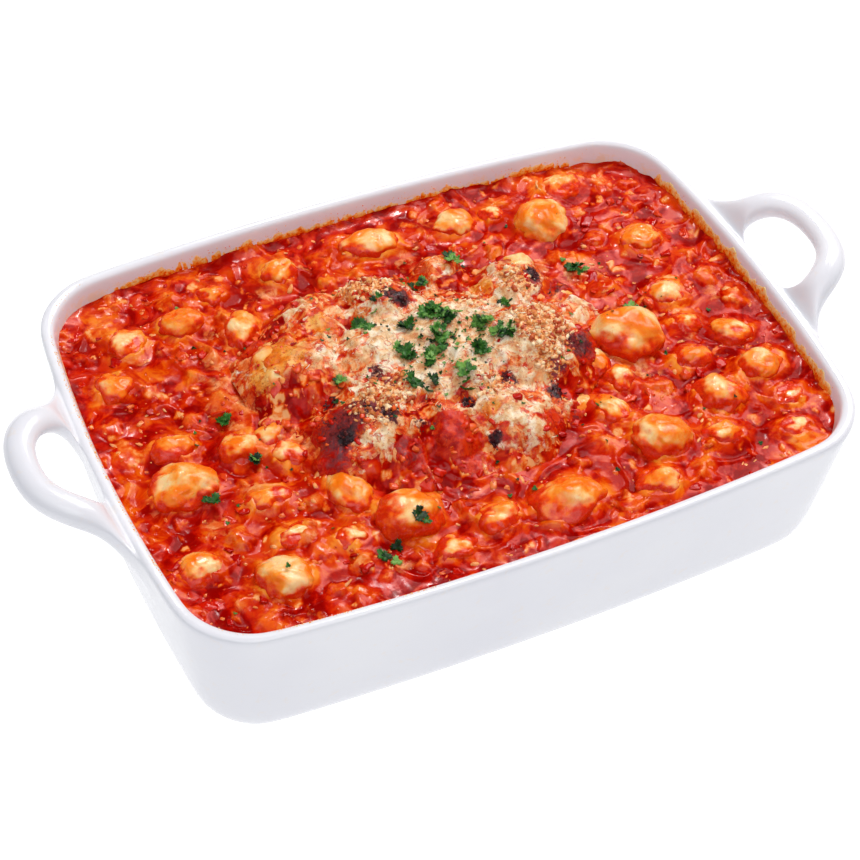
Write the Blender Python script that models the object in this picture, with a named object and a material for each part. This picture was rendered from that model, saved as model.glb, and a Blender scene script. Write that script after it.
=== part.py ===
"""Potato gnocchi baked in chunky tomato sauce, in a white ceramic oven dish with two loop handles.

Run it with: blender --background --python part.py
Metres, +Z up. The origin is the middle of the dish's foot, and +X runs along the dish to one handle.
Sizes below are millimetres, turned to metres as each mesh is made.
"""

import math

import bmesh
import bpy
from mathutils import Matrix, Vector, noise

MM = 0.001
GAP = 0.3  # left between pieces that touch

# Dish: a bowed rectangle with round corners, whose walls lean outwards
RIM_HALF_LENGTH = 150
RIM_HALF_WIDTH = 106
RIM_BOW = 8  # how far each side bulges at its middle, up at the rim
FOOT_BOW = 5
CORNER_RADIUS = 26
CORNER_STEPS = 5
LONG_SIDE_STEPS = 4
SHORT_SIDE_STEPS = 3
DISH_HEIGHT = 79
WALL_LEAN = 9  # how much wider the rim stands than the foot, on each side
WALL = 5.5
FLOOR = 6
FOOT_RADIUS = 15
BASIN_RADIUS = 14
LIP_DROP = 9  # the lip's flare starts this far below the rim
LIP_FLARE = 1.2

# Handles: a loop in plan between an outer and an inner curve, rising above the rim
HANDLE_ROOT_X = 152.5  # inside the thickness of the end wall
HANDLE_OUTER = (38.5, 37, 2.4, 14)  # reach, half length along the wall, squareness, flare at the wall
HANDLE_INNER = (25.5, 23, 2.5, -9)
HANDLE_FLARE_SHARE = 0.4  # the flares end at this share of the reach
HANDLE_ROOT_DROP = 11  # below the rim
HANDLE_RISE = 22
HANDLE_HALF_THICKNESS = 5.4
HANDLE_ROOT_SWELL = 3.1
HANDLE_STEPS = 14
HANDLE_SIDES = 8

# Sauce: its level and the slow ripple of its surface
SAUCE_LEVEL = DISH_HEIGHT - 10
RIPPLE = 0.9
RIPPLE_LENGTH = 26
GRID_PITCH = 12.5

# Heap of coated gnocchi in the middle, with the lumps that stand up from it
HEAP_CENTRE = (-5, 5)
HEAP_RADII = (84, 65)
HEAP_LOBES = ((3, 0.05, 0.6), (5, 0.04, 2.1))  # count, depth and phase of the outline's waves
HEAP_EDGE = 1.6
HEAP_HEIGHT = 10
HEAP_LUMPS = (  # x, y, radius, height
    (-10, 48, 20, 12),
    (-44, 51, 21, 8),
    (-65, 25, 23, 9),
    (-47, -27, 24, 11),
    (44, -4, 25, 12),
    (53, 40, 16, 9),
    (15, -44, 19, 6),
    (-16, -32, 15, 4),
)

# Melted cheese over the heap
CHEESE_REACH = 0.93  # of the heap's outline
CHEESE_THICKNESS = 2.2
CHEESE_EDGE = 0.9
OUTLINE_POINTS = 44

# Gnocchi that show: x, y, length, width, turn in degrees, and how far each stands out of the sauce
GNOCCHI = {
    "back": (
        (-118, 70, 21, 19, 20, 5),
        (-93, 72, 23, 19, 10, 6),
        (-74, 85, 18, 15, 0, 3),
        (-41, 86, 20, 17, 25, 5),
        (4, 88, 30, 18, -8, 6),
        (45, 85, 22, 18, 5, 6),
        (64, 85, 13, 12, 0, 3),
        (84, 71, 28, 25, 15, 9),
        (103, 90, 24, 17, 0, 5),
    ),
    "left": (
        (-132, 47, 20, 18, 60, 5),
        (-70, 60, 24, 18, 70, 5),
        (-121, 7, 24, 17, -10, 4),
        (-97, -5, 21, 19, 0, 6),
        (-125, -16, 30, 25, -5, 9),
        (-79, -15, 18, 17, 0, 4),
        (-96, -34, 24, 16, 0, 3),
        (-134, -58, 21, 17, 0, 5),
    ),
    "front": (
        (-64, -43, 28, 19, -76, 6),
        (-47, -66, 30, 26, 0, 9),
        (-93, -56, 21, 16, 0, 3),
        (-73, -66, 17, 14, 0, 3),
        (-105, -75, 25, 21, -10, 8),
        (-36, -87, 22, 16, 0, 3),
        (-13, -80, 23, 18, 0, 4),
        (16, -83, 34, 24, 5, 8),
        (56, -89, 22, 18, 0, 5),
        (57, -46, 24, 15, -70, 4),
        (69, -68, 28, 24, -30, 9),
    ),
    "right": (
        (120, 44, 23, 19, 0, 5),
        (113, 8, 20, 17, -50, 5),
        (83, -9, 36, 29, -25, 13),
        (69, -30, 17, 14, 60, 4),
        (112, -12, 15, 13, 0, 4),
        (129, -24, 22, 17, -20, 5),
        (104, -32, 20, 17, 0, 5),
        (130, -47, 26, 20, 0, 6),
        (104, -55, 25, 23, 0, 7),
        (94, -76, 22, 17, 0, 4),
        (132, -67, 20, 17, 0, 3),
        (124, -85, 20, 15, 0, 3),
    ),
}
GNOCCO_FLATNESS = 0.88  # height over width
GNOCCO_TAPER = 0.10  # one end is a little fuller than the other
GNOCCO_LATITUDES = (-20, 12, 42, 70)  # a flat underside in the sauce, and a small dent on top
GNOCCO_SIDES = 9


def clear_scene():
    for old in list(bpy.data.objects):
        bpy.data.objects.remove(old)


def make_material(name, colour, roughness):
    material = bpy.data.materials.new(name)
    material.use_nodes = True
    shader = material.node_tree.nodes["Principled BSDF"]
    shader.inputs["Base Color"].default_value = (*colour, 1)
    shader.inputs["Roughness"].default_value = roughness
    shader.inputs["Metallic"].default_value = 0
    return material


def make_object(name, bm, material=None, smooth_under=40):
    """A mesh object from a bmesh in millimetres. Without a material it is a hidden cutter."""
    bmesh.ops.triangulate(bm, faces=bm.faces, quad_method="SHORT_EDGE")
    bmesh.ops.transform(bm, matrix=Matrix.Scale(MM, 4), verts=bm.verts)
    mesh = bpy.data.meshes.new(name)
    bm.to_mesh(mesh)
    bm.free()
    made = bpy.data.objects.new(name, mesh)
    bpy.context.scene.collection.objects.link(made)
    if material:
        mesh.materials.append(material)
        mesh.shade_smooth()
        mesh.set_sharp_from_angle(angle=math.radians(smooth_under))
    else:
        made.hide_render = True
        made.display_type = "WIRE"
    return made


def add_boolean(target, other, operation):
    modifier = target.modifiers.new(f"{operation.lower()} {other.name}", "BOOLEAN")
    modifier.operation = operation
    modifier.object = other
    modifier.solver = "EXACT"


def between(low, high, share):
    return low + (high - low) * share


def smooth_step(share):
    share = min(1, max(0, share))
    return share * share * (3 - 2 * share)


def add_ring(bm, points):
    """A closed loop of edges through the points; returns its vertices and edges."""
    verts = [bm.verts.new(p) for p in points]
    edges = [bm.edges.new((a, b)) for a, b in zip(verts, verts[1:] + verts[:1])]
    return verts, edges


def add_loft(bm, loops):
    """Walls from each loop of points to the next, closed by a face at both ends."""
    rings = [add_ring(bm, loop) for loop in loops]
    for (_, lower), (_, upper) in zip(rings, rings[1:]):
        bmesh.ops.bridge_loops(bm, edges=lower + upper)
    bm.faces.new(rings[0][0])
    bm.faces.new(rings[-1][0])
    bmesh.ops.recalc_face_normals(bm, faces=bm.faces)


def dish_outline(inset, z):
    """The dish's outline at a height, drawn in by inset from the rim's outer edge."""
    half_x, half_y = RIM_HALF_LENGTH - inset, RIM_HALF_WIDTH - inset
    radius = CORNER_RADIUS - inset / 2
    corners = []
    for quarter, (side_x, side_y) in enumerate(((1, 1), (-1, 1), (-1, -1), (1, -1))):
        centre = Vector((side_x * (half_x - radius), side_y * (half_y - radius)))
        arc = []
        for step in range(CORNER_STEPS + 1):
            angle = math.radians(90) * (quarter + step / CORNER_STEPS)
            arc.append(centre + radius * Vector((math.cos(angle), math.sin(angle))))
        corners.append(arc)
    outline = []
    for quarter, arc in enumerate(corners):
        outline += arc
        following = corners[(quarter + 1) % 4][0]
        steps = LONG_SIDE_STEPS if quarter % 2 == 0 else SHORT_SIDE_STEPS
        outline += [arc[-1].lerp(following, step / steps) for step in range(1, steps)]
    bow = between(FOOT_BOW, RIM_BOW, z / DISH_HEIGHT)
    bowed = []
    for x, y in outline:
        out_x = bow * (1 - (y / half_y) ** 2) * x / half_x
        out_y = bow * (1 - (x / half_x) ** 2) * y / half_y
        bowed.append((x + out_x, y + out_y, z))
    return bowed


def wall_inset(z):
    """How far the leaning outer wall lies inside the rim's edge at a height."""
    return WALL_LEAN * (1 - z / DISH_HEIGHT)


def basin_profile(clearance):
    """(inset, height) pairs of the basin's inside from its floor to the lip, drawn in by a clearance."""
    floor = FLOOR + clearance
    profile = []
    for degrees in (0, 30, 60, 90):
        angle = math.radians(degrees)
        z = floor + BASIN_RADIUS * (1 - math.cos(angle))
        profile.append((wall_inset(z) + WALL + clearance + BASIN_RADIUS * (1 - math.sin(angle)), z))
    profile.append((WALL + clearance, DISH_HEIGHT - WALL / 2))
    return profile


def make_dish_body():
    profile = []
    for degrees in (0, 22, 45, 67, 90):
        angle = math.radians(degrees)
        z = FOOT_RADIUS * (1 - math.cos(angle))
        profile.append((wall_inset(z) + FOOT_RADIUS * (1 - math.sin(angle)), z))
    lip_start = DISH_HEIGHT - LIP_DROP
    profile.append((wall_inset(lip_start) + LIP_FLARE, lip_start))
    half_lip = WALL / 2
    for degrees in (0, 45, 90, 135):
        angle = math.radians(degrees)
        inset = half_lip * (1 - math.cos(angle))
        profile.append((inset, DISH_HEIGHT - half_lip * (1 - math.sin(angle))))
    profile += reversed(basin_profile(0))
    bm = bmesh.new()
    add_loft(bm, [dish_outline(inset, z) for inset, z in profile])
    return bm


def loop_point(size, angle):
    """A point of a squared-off half ellipse that starts and ends inside the end wall, flared there."""
    reach, half_length, squareness, flare = size
    power = 2 / squareness
    share = abs(math.cos(angle)) ** power
    y = half_length * abs(math.sin(angle)) ** power
    y += flare * max(0, 1 - share / HANDLE_FLARE_SHARE) ** 2
    return Vector((HANDLE_ROOT_X + share * reach, math.copysign(y, angle), 0))


def make_handle(side):
    """One loop handle; side is 1 at +X and -1 at -X."""
    sections = []
    for step in range(HANDLE_STEPS + 1):
        angle = math.radians(between(-90, 90, step / HANDLE_STEPS))
        outer, inner = loop_point(HANDLE_OUTER, angle), loop_point(HANDLE_INNER, angle)
        middle, across = (outer + inner) / 2, (outer - inner) / 2
        still_to_go = 1 - abs(math.cos(angle)) ** (2 / HANDLE_OUTER[2])
        middle.z = DISH_HEIGHT - HANDLE_ROOT_DROP + HANDLE_RISE * (1 - still_to_go**3)
        thickness = HANDLE_HALF_THICKNESS + HANDLE_ROOT_SWELL * still_to_go**2
        section = []
        for turn in range(HANDLE_SIDES):
            around = math.tau * turn / HANDLE_SIDES
            section.append(middle + across * math.cos(around) + Vector((0, 0, thickness * math.sin(around))))
        sections.append(section)
    bm = bmesh.new()
    add_loft(bm, sections)
    if side < 0:
        bmesh.ops.rotate(bm, cent=(0, 0, 0), matrix=Matrix.Rotation(math.pi, 3, "Z"), verts=bm.verts)
    return bm


def make_dish(glaze):
    dish = make_object("dish", make_dish_body(), glaze)
    for name, side in (("handle_right", 1), ("handle_left", -1)):
        add_boolean(dish, make_object(name, make_handle(side)), "UNION")


def sauce_height(x, y):
    """Height of the sauce's surface: its level and a slow ripple."""
    return SAUCE_LEVEL + RIPPLE * noise.noise(Vector((x, y, 0)) / RIPPLE_LENGTH)


def heap_reach(angle):
    return 1 + sum(depth * math.sin(count * angle + phase) for count, depth, phase in HEAP_LOBES)


def heap_share(x, y):
    """0 in the middle of the heap and 1 at its uneven outline."""
    along, across = (x - HEAP_CENTRE[0]) / HEAP_RADII[0], (y - HEAP_CENTRE[1]) / HEAP_RADII[1]
    return math.hypot(along, across) / heap_reach(math.atan2(across, along))


def heap_height(x, y):
    """Top of the heap: a low dome with rounded lumps."""
    height = sauce_height(x, y) + HEAP_EDGE + HEAP_HEIGHT * smooth_step(1.3 * (1 - heap_share(x, y)))
    for lump_x, lump_y, radius, rise in HEAP_LUMPS:
        share = math.hypot(x - lump_x, y - lump_y) / radius
        height += rise * max(0, 1 - share * share)
    return height


def cheese_height(x, y):
    """Top of the cheese, which thins towards its outline."""
    thickness = between(CHEESE_EDGE, CHEESE_THICKNESS, smooth_step(2 * (1 - heap_share(x, y))))
    return heap_height(x, y) + GAP + thickness


def make_slab(height_at, floor):
    """A block over the whole dish whose top follows a height function."""
    columns = math.ceil(2 * (RIM_HALF_LENGTH + RIM_BOW) / GRID_PITCH)
    rows = math.ceil(2 * (RIM_HALF_WIDTH + RIM_BOW) / GRID_PITCH)
    bm = bmesh.new()
    bmesh.ops.create_grid(bm, x_segments=columns, y_segments=rows, size=GRID_PITCH / 2)
    bmesh.ops.scale(bm, vec=(columns, rows, 1), verts=bm.verts)
    top = list(bm.verts)
    made = bmesh.ops.extrude_face_region(bm, geom=list(bm.faces), use_keep_orig=True)
    for vert in made["geom"]:
        if isinstance(vert, bmesh.types.BMVert):
            vert.co.z = floor
    for vert in top:
        vert.co.z = height_at(vert.co.x, vert.co.y)
    bmesh.ops.recalc_face_normals(bm, faces=bm.faces)
    return bm


def make_basin_filling():
    """The space inside the dish, a clearance away from its walls and floor."""
    profile = [*basin_profile(GAP), (WALL + GAP, DISH_HEIGHT + 30)]
    bm = bmesh.new()
    add_loft(bm, [dish_outline(inset, z) for inset, z in profile])
    return bm


def add_gnocco(bm, place, growth=0):
    """One dumpling: an egg with a fuller end, sunk in the sauce on its flat underside."""
    x, y, length, width, turn, rise = place
    half_height = width * GNOCCO_FLATNESS / 2
    turn_about = Matrix.Rotation(math.radians(turn), 3, "Z")
    middle = Vector((x, y, sauce_height(x, y) + rise - half_height))
    loops = []
    for degrees in GNOCCO_LATITUDES:
        latitude = math.radians(degrees)
        loop = []
        for side in range(GNOCCO_SIDES):
            around = math.tau * side / GNOCCO_SIDES
            along, across = math.cos(latitude) * math.cos(around), math.cos(latitude) * math.sin(around)
            point = Vector((along * (length / 2 + growth), across * (width / 2 + growth), 0))
            point.y *= 1 + GNOCCO_TAPER * along
            point.z = math.sin(latitude) * half_height + math.copysign(growth, latitude)
            loop.append(middle + turn_about @ point)
        loops.append(loop)
    add_loft(bm, loops)


def make_gnocchi(dough):
    """Each gnocco as its own object, and one cutter with the pockets that they sit in."""
    pockets = bmesh.new()
    for row, places in GNOCCHI.items():
        for number, place in enumerate(places, start=1):
            bm = bmesh.new()
            add_gnocco(bm, place)
            make_object(f"gnocco_{row}_{number}", bm, dough)
            add_gnocco(pockets, place, growth=GAP)
    return make_object("gnocchi_pockets", pockets)


def make_sauce(colour, pockets):
    sauce = make_object("sauce", make_slab(sauce_height, floor=-10), colour)
    add_boolean(sauce, make_object("basin_filling", make_basin_filling()), "INTERSECT")
    add_boolean(sauce, pockets, "DIFFERENCE")


def make_layer(name, colour, top, below, reach, pockets):
    """What lies between two heights, inside the heap's outline drawn in or out by its reach."""
    outline = []
    for step in range(OUTLINE_POINTS):
        angle = math.tau * step / OUTLINE_POINTS
        x = HEAP_CENTRE[0] + HEAP_RADII[0] * reach * heap_reach(angle) * math.cos(angle)
        y = HEAP_CENTRE[1] + HEAP_RADII[1] * reach * heap_reach(angle) * math.sin(angle)
        outline.append((x, y))
    prism = bmesh.new()
    add_loft(prism, [[(x, y, z) for x, y in outline] for z in (0, 2 * DISH_HEIGHT)])
    under = make_slab(lambda x, y: below(x, y) + GAP, floor=-20)
    layer = make_object(name, make_slab(top, floor=-10), colour)
    add_boolean(layer, make_object(f"{name}_outline", prism), "INTERSECT")
    add_boolean(layer, make_object(f"under_{name}", under), "DIFFERENCE")
    add_boolean(layer, pockets, "DIFFERENCE")


def main():
    clear_scene()
    make_dish(make_material("white_glaze", (0.86, 0.87, 0.9), 0.15))
    pockets = make_gnocchi(make_material("gnocchi_dough", (0.93, 0.62, 0.3), 0.35))
    tomato = make_material("tomato_sauce", (0.62, 0.05, 0.01), 0.2)
    cheese = make_material("melted_cheese", (0.86, 0.6, 0.38), 0.4)
    make_sauce(tomato, pockets)
    make_layer("gnocchi_heap", tomato, heap_height, sauce_height, 1, pockets)
    make_layer("melted_cheese", cheese, cheese_height, heap_height, CHEESE_REACH, pockets)


main()
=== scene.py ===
"""Looks of potato gnocchi baked in chunky tomato sauce, in a white oven dish with two loop handles.

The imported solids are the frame: each piece here is placed by them, and stands for one of them or lies on one.
Shapes are worked out in millimetres and turned to metres as each piece is finished.
"""

import functools
import math
import random

import bmesh
import bpy
import numpy as np
from mathutils import Matrix, Vector, noise


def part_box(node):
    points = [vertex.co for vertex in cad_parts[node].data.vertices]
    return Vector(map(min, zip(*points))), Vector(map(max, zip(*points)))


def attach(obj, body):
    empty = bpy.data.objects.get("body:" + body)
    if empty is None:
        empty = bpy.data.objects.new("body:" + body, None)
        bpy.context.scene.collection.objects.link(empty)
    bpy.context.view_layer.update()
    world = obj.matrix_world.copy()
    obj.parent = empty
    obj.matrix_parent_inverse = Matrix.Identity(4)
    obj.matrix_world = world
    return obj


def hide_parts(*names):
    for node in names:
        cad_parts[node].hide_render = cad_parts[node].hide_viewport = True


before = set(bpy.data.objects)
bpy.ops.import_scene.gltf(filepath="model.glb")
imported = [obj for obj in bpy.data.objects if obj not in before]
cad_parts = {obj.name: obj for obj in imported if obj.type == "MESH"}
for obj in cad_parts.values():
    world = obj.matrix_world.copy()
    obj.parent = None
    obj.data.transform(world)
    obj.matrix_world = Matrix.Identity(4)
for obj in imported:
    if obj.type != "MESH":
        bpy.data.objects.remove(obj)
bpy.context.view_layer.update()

MM = 0.001

# Dish, with the sizes of its solid
RIM_HALF_LENGTH = 150
RIM_HALF_WIDTH = 106
RIM_BOW = 8
FOOT_BOW = 5
CORNER_RADIUS = 26
CORNER_STEPS = 5
DISH_HEIGHT = 79
WALL_LEAN = 9
WALL = 5.5
FLOOR = 6
FOOT_RADIUS = 15
BASIN_RADIUS = 14
LIP_START = 70.5
LIP_FLARE = 0.2
LIP_ROUNDING = 1.1  # makes up for what subdividing takes off the lip
LONG_STOPS = (-96, -64, -32, 0, 32, 64, 96)  # where the rings have points along the sides
SHORT_STOPS = (-66, -51, -32.5, -14, 0, 14, 32.5, 51, 66)
OUTSIDE_STOPS = (34, 58)  # heights of rings on the outer wall; the handles' roots start at the last
INSIDE_STOPS = (66, 40)
ROOT_MIDDLE = 32.5

# Handles, with the sizes of their solid
HANDLE_ROOT_X = 152.5
HANDLE_OUTER = (38.5, 37, 2.4, 14)  # reach, half length along the wall, squareness, flare at the wall
HANDLE_INNER = (25.5, 23, 2.5, -9)
HANDLE_FLARE_SHARE = 0.4
HANDLE_ROOT_DROP = 9.5
HANDLE_RISE = 20.5
HANDLE_HALF_THICKNESS = 5.4
HANDLE_ROOT_SWELL = 3.6
HANDLE_ROUNDING = 1.06  # makes up for what subdividing takes off the handles
HANDLE_STEPS = 14
HANDLE_SIDES = 8

# Sauce
SAUCE_LEVEL = DISH_HEIGHT - 10
SAUCE_GAP = 0.3  # between the sauce and the basin under the level
SAUCE_TUCK = 0.2  # how far the sauce's edge reaches into the wall at the level
SAUCE_PITCH = 0.85
RIPPLE = 0.9
RIPPLE_LENGTH = 26
CHIP_COUNT = 700
CHIP_HALF_LENGTHS = (1.8, 5.6)
MOUND_COUNT = 48  # gnocchi just under the sauce
MOUND_WALL_GAP = 7
MOUND_HEAP_SHARE = 1.06  # mounds keep clear of the heap's outline
MOUND_GNOCCO_SHARE = 1.35  # and of each gnocco's
MOUND_SPACING = 12
MOUND_LIMITS = ((6, 11), (0, math.pi), (1.2, 2.4), (0.3, 0.8))  # half length, turn, height and tint
GNOCCO_SHORE = 28  # how far from its middle a gnocco changes the sauce
BITS_WALL_GAP = 2.5

# Sauce that has dried on the wall
BAND_DIP = 1.5
BAND_HEIGHTS = (2.6, 8.0)
BAND_HEIGHTS_IN_FRONT = (0.6, 8.0)
BAND_FRONT_Y = -80
BAND_RIGHT_X = 120
BAND_EXTRA_AT_RIGHT = 1.8
BAND_SECTION = (  # share of the height, and how many times its thickness it stands out from the wall
    (0, 0.4), (0, -1), (0.2, -1), (0.4, -1), (0.6, -0.9), (0.8, -0.7), (0.93, -0.4), (1, 0.4),
)
WALL_SPECKS = 700
LIP_SPECKS = 1100
LIP_SPECK_BENDS = (118, 127, 136, 146)  # degrees round the lip from its outside

# Heap: its outline and dome as in its solid, and the gnocchi in it
HEAP_CENTRE = (-5, 5)
HEAP_RADII = (84, 65)
HEAP_LOBES = ((3, 0.05, 0.6), (5, 0.04, 2.1))
HEAP_EDGE = 1.6
HEAP_HEIGHT = 12.5
LUMP_HEIGHT = 0.8  # of the heights in the list
LUMP_REACH = 1.12
HEAP_PITCH = 0.9
HEAP_FOOT = SAUCE_LEVEL - 6
HEAP_BLEND = 1.2  # how softly the cheese goes from one gnocco to the next
HEAP_LUMPS = (  # x, y, radius, height: gnocchi hidden under sauce and cheese
    (-12, 50, 20, 13), (-44, 51, 20, 10), (-65, 25, 23, 12), (-47, -24, 24, 14), (44, -4, 25, 14),
    (52, 38, 17, 12), (15, -42, 18, 9), (-14, -34, 13, 6), (-28, 20, 14, 4), (8, -8, 14, 4),
    (4, 20, 14, 4), (-84, 4, 13, 4), (22, 58, 13, 6), (68, 14, 13, 5), (60, -30, 12, 5),
    (36, -34, 12, 4), (-30, -52, 11, 4), (-28, 66, 10, 4),
)
HEAP_GNOCCHI = (  # x, y, length, width, turn, how far it stands out of the heap, and how much sauce coats it
    (-66, 24, 34, 29, 60, 0.9, 0.4), (54, 41, 27, 23, 30, 1.6, 0.15),
    (16, -43, 28, 23, -35, 2.2, 0.15), (70, 60, 17, 13, 20, 3.5, 0.1), (24, 59, 22, 16, -10, 1.8, 0.5),
    (29, -58, 25, 17, 10, 2.2, 0.35), (-38, 54, 24, 18, 35, 1.0, 0.5), (64, -18, 20, 12, 75, 2.5, 0.6),
    (47, -36, 19, 13, 40, 2.0, 0.55), (-82, -2, 19, 15, 20, 1.6, 0.6),
    (-30, -50, 19, 14, 10, 1.5, 0.9), (68, 22, 18, 14, 80, 1.5, 0.6),
)

# Cheese: where it lies thicker or is missing, and what lies on it
CHEESE_THICKNESS = 1.9
CHEESE_SKIN = 1.5
CHEESE_MARGIN = 6
CHEESE_END = -0.25  # no cheese below this cover
WET_END = 0.3  # and no juice below this
CHEESE_PATCHES = (  # x, y, radius, strength: below 0 where cheese is missing
    (0, 8, 34, 0.75), (-60, 30, 20, -0.1), (-44, 24, 12, 0.3), (-42, 50, 14, 0.2), (-14, 56, 14, 0.3),
    (46, 30, 14, 0.7), (42, -2, 18, 0.6), (-38, -12, 12, 0.4), (8, -28, 12, 0.4), (-22, -24, 9, -0.4),
    (-52, 8, 8, -0.4), (-24, 34, 7, -0.3), (18, -44, 16, 0.6), (-86, 34, 16, 0.5), (-90, 12, 12, 0.4),
    (74, 8, 12, 0.7), (30, -22, 12, 0.4), (-14, -38, 10, -1.4), (-2, -24, 6, -0.6), (-70, 8, 12, -0.6),
    (66, -24, 12, -0.4), (-30, -46, 14, -0.6), (30, -46, 7, -0.8), (-26, -6, 6, -0.5),
    (24, 44, 9, -0.5),
)
BROWN_PATCHES = (  # x, y, radius, strength: golden crumbs
    (-14, 55, 13, 1), (-42, -17, 12, 1), (44, -2, 15, 1), (40, -18, 8, 1), (50, 32, 10, 0.8),
    (-30, -10, 12, 0.7), (26, 32, 9, 0.7), (10, -22, 10, 0.5),
)
CHAR_PATCHES = (  # x, y, radius, strength: purple at 0.5 and black at 1
    (-7, 41, 8, 0.8), (-3, 36, 4, 0.6), (-57, -20, 12, 0.5), (-57, -25, 4, 0.7), (-54, -2, 5, 0.8),
    (-37, -24, 6, 0.8), (-24, -30, 7, 0.5), (56, -14, 9, 0.55), (38, -31, 6, 0.9), (20, -20, 5, 0.9),
    (-2, -26, 4, 1), (1, -46, 4, 0.9), (59, 34, 5, 0.9), (64, 24, 7, 0.4), (-32, 2, 5, 0.6),
    (74, -34, 5, 0.7), (-46, -15, 6, 0.55), (44, -48, 4, 0.7),
)
WET_PATCHES = (  # x, y, radius, how purple: glossy places without cheese
    (-57, -18, 13, 0.8), (-64, -30, 9, 0.6), (-14, -36, 10, 0.1), (-12, -48, 9, 0.0),
    (-72, 45, 9, 0.1), (57, -14, 9, 0.9), (68, -6, 8, 0.3), (-4, 40, 8, 1.0), (-18, 46, 6, 0.1),
    (43, -21, 6, 0.9), (30, -45, 6, 0.1), (-28, -5, 6, 0.6), (58, 32, 5, 0.8), (-34, -40, 8, 0.5),
    (72, 28, 7, 0.6), (-46, -18, 9, 0.8), (43, -46, 7, 0.7),
)
ORANGE_PATCHES = (  # x, y, radius: smooth yellow-orange cheese
    (-60, 30, 15), (-74, 20, 9), (34, 38, 8), (-20, 54, 8), (40, -20, 6), (6, -34, 6), (-40, 40, 8),
)
FILM_PATCHES = (  # x, y, radius, strength: thin peach-coloured films on the sauce
    (-85, 37, 16, 0.9), (-91, 14, 14, 0.8), (-78, 58, 12, 0.6), (-87, -6, 12, 0.8),
    (-73, -16, 12, 0.7), (-97, -33, 12, 0.9), (-120, -41, 9, 0.7), (-90, -57, 9, 0.7),
    (-60, -84, 8, 0.5), (78, -28, 9, 0.8), (82, -44, 8, 0.7), (134, 0, 7, 0.6), (111, -17, 7, 0.6),
    (115, -53, 8, 0.5), (98, 82, 9, 0.5), (34, 92, 9, 0.6), (-32, 84, 9, 0.5), (-115, 62, 10, 0.5),
    (84, 34, 12, 0.9), (70, 44, 9, 0.8), (70, -22, 9, 0.6), (88, 12, 10, 0.6), (72, -12, 10, 0.5),
    (17, 72, 12, 0.6), (50, 62, 12, 0.6), (-50, 76, 12, 0.5), (-22, -66, 10, 0.4),
)
OILY_PATCHES = (  # x, y, radius, strength: orange oil on the sauce
    (-118, 66, 34, 0.5), (-60, 92, 26, 0.5), (5, 94, 28, 0.4), (70, 90, 26, 0.3), (-90, 20, 26, 0.4),
    (-110, -70, 24, 0.3),
)

# Gnocchi
GNOCCO_FLATNESS = 0.88
GNOCCO_TAPER = 0.10
GNOCCO_DENT = 0.94  # the solid's top is flat at this share of the half height
GNOCCO_SWELL = 1.03  # makes up for what the folds take off
GNOCCO_DETAIL = 5
LIT_SIDE_WAY = Vector((0.62, 0.78, 0))  # painted light: on this side, towards the key light, the film is thinner and the dough paler; on the far side the film is thicker and more orange, as painted shade
LIT_SIDE_SHARE = 0.2
COATS = {  # how much sauce coats each: 0 or less is bare, 1 is coated all over
    "back_1": 0.35, "back_2": 0.45, "back_3": 0.75, "back_4": 0.3, "back_5": 0.4, "back_6": 0.1,
    "back_7": 0.6, "back_8": -0.35, "back_9": 0.4, "left_1": 0.6, "left_2": 0.45, "left_3": 0.6,
    "left_4": 0.45, "left_5": 0.05, "left_6": 0.6, "left_7": 0.7, "left_8": 0.3, "front_1": 0.2,
    "front_2": 0.5, "front_3": 0.7, "front_4": 0.7, "front_5": 0.1, "front_6": 0.7, "front_7": 0.6,
    "front_8": 0.35, "front_9": 0.45, "front_10": 0.5, "front_11": 0.15, "right_1": 0.3,
    "right_2": 0.3, "right_3": 0.25, "right_4": 0.6, "right_5": 0.8, "right_6": 0.4, "right_7": 0.7,
    "right_8": 0.45, "right_9": 0.55, "right_10": 0.6, "right_11": 0.7, "right_12": 0.7,
}

# Parsley
PARSLEY_CLUSTERS = (  # x, y, leaflets, spread: the big ones in the middle first
    (4, 25, 10, 4.0), (8, 17, 10, 4.0), (0, 9, 8, 4.5), (-11, 22, 4, 3.0), (-13, 8, 6, 4.5),
    (22, 10, 8, 4.0), (27, 0, 10, 4.5), (12, -5, 6, 3.5), (-7, -2, 6, 4.5), (-15, -11, 5, 4.0),
    (2, -15, 5, 3.5), (-26, 29, 5, 3.0), (-18, 38, 3, 3.0), (37, 20, 4, 3.0), (-47, 7, 4, 2.0),
    (31, 57, 3, 2.5), (12, 52, 3, 2.5), (84, 36, 5, 3.5), (93, 3, 4, 3.0), (-96, 12, 2, 1.5),
    (-92, -14, 2, 1.5), (-62, -80, 4, 3.0), (-46, -74, 3, 2.5), (-118, -28, 2, 2.0),
)
LOOSE_FLAKES = (  # count, middle, spread both ways, smallest and largest half size
    (150, (3, 5), (12, 13), (0.3, 1.1)),
    (60, (-5, 5), (36, 28), (0.4, 1.2)),
)
FLAKES_ALL_OVER = 55
FLAKES_REACH = (130, 88)

# Lights: name, place, size, power and colour; the place is in metres from the middle of the floor
LIGHTS = (
    ("key", (0.75, 0.5, 1.1), 0.85, 11.5, (1.0, 0.94, 0.91)),
    ("sparkle", (0.35, 0.75, 1.2), 0.12, 3.2, (1, 1, 1)),
    ("front", (-0.25, -0.92, 1.5), 1.2, 8.0, (0.96, 0.975, 1.0)),
    ("fill", (-0.75, -0.05, 1.35), 1.0, 2.6, (0.96, 0.98, 1.0)),
)
ROOM_COLOUR = (0.93, 0.95, 1.0, 1)
ROOM_BRIGHTNESS = 0.38
FLOOR_DROP = 0.2  # keeps the floor clear of the foot

# Camera: degrees and millimetres
CAMERA_AZIMUTH = -27.82
CAMERA_ELEVATION = 47.56
CAMERA_ROLL = 3.64
CAMERA_DISTANCE = 983.4
CAMERA_TARGET = (10.5, 30, 0)
CAMERA_LENS = 88.99


# ---------------------------------------------------------------- materials


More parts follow.
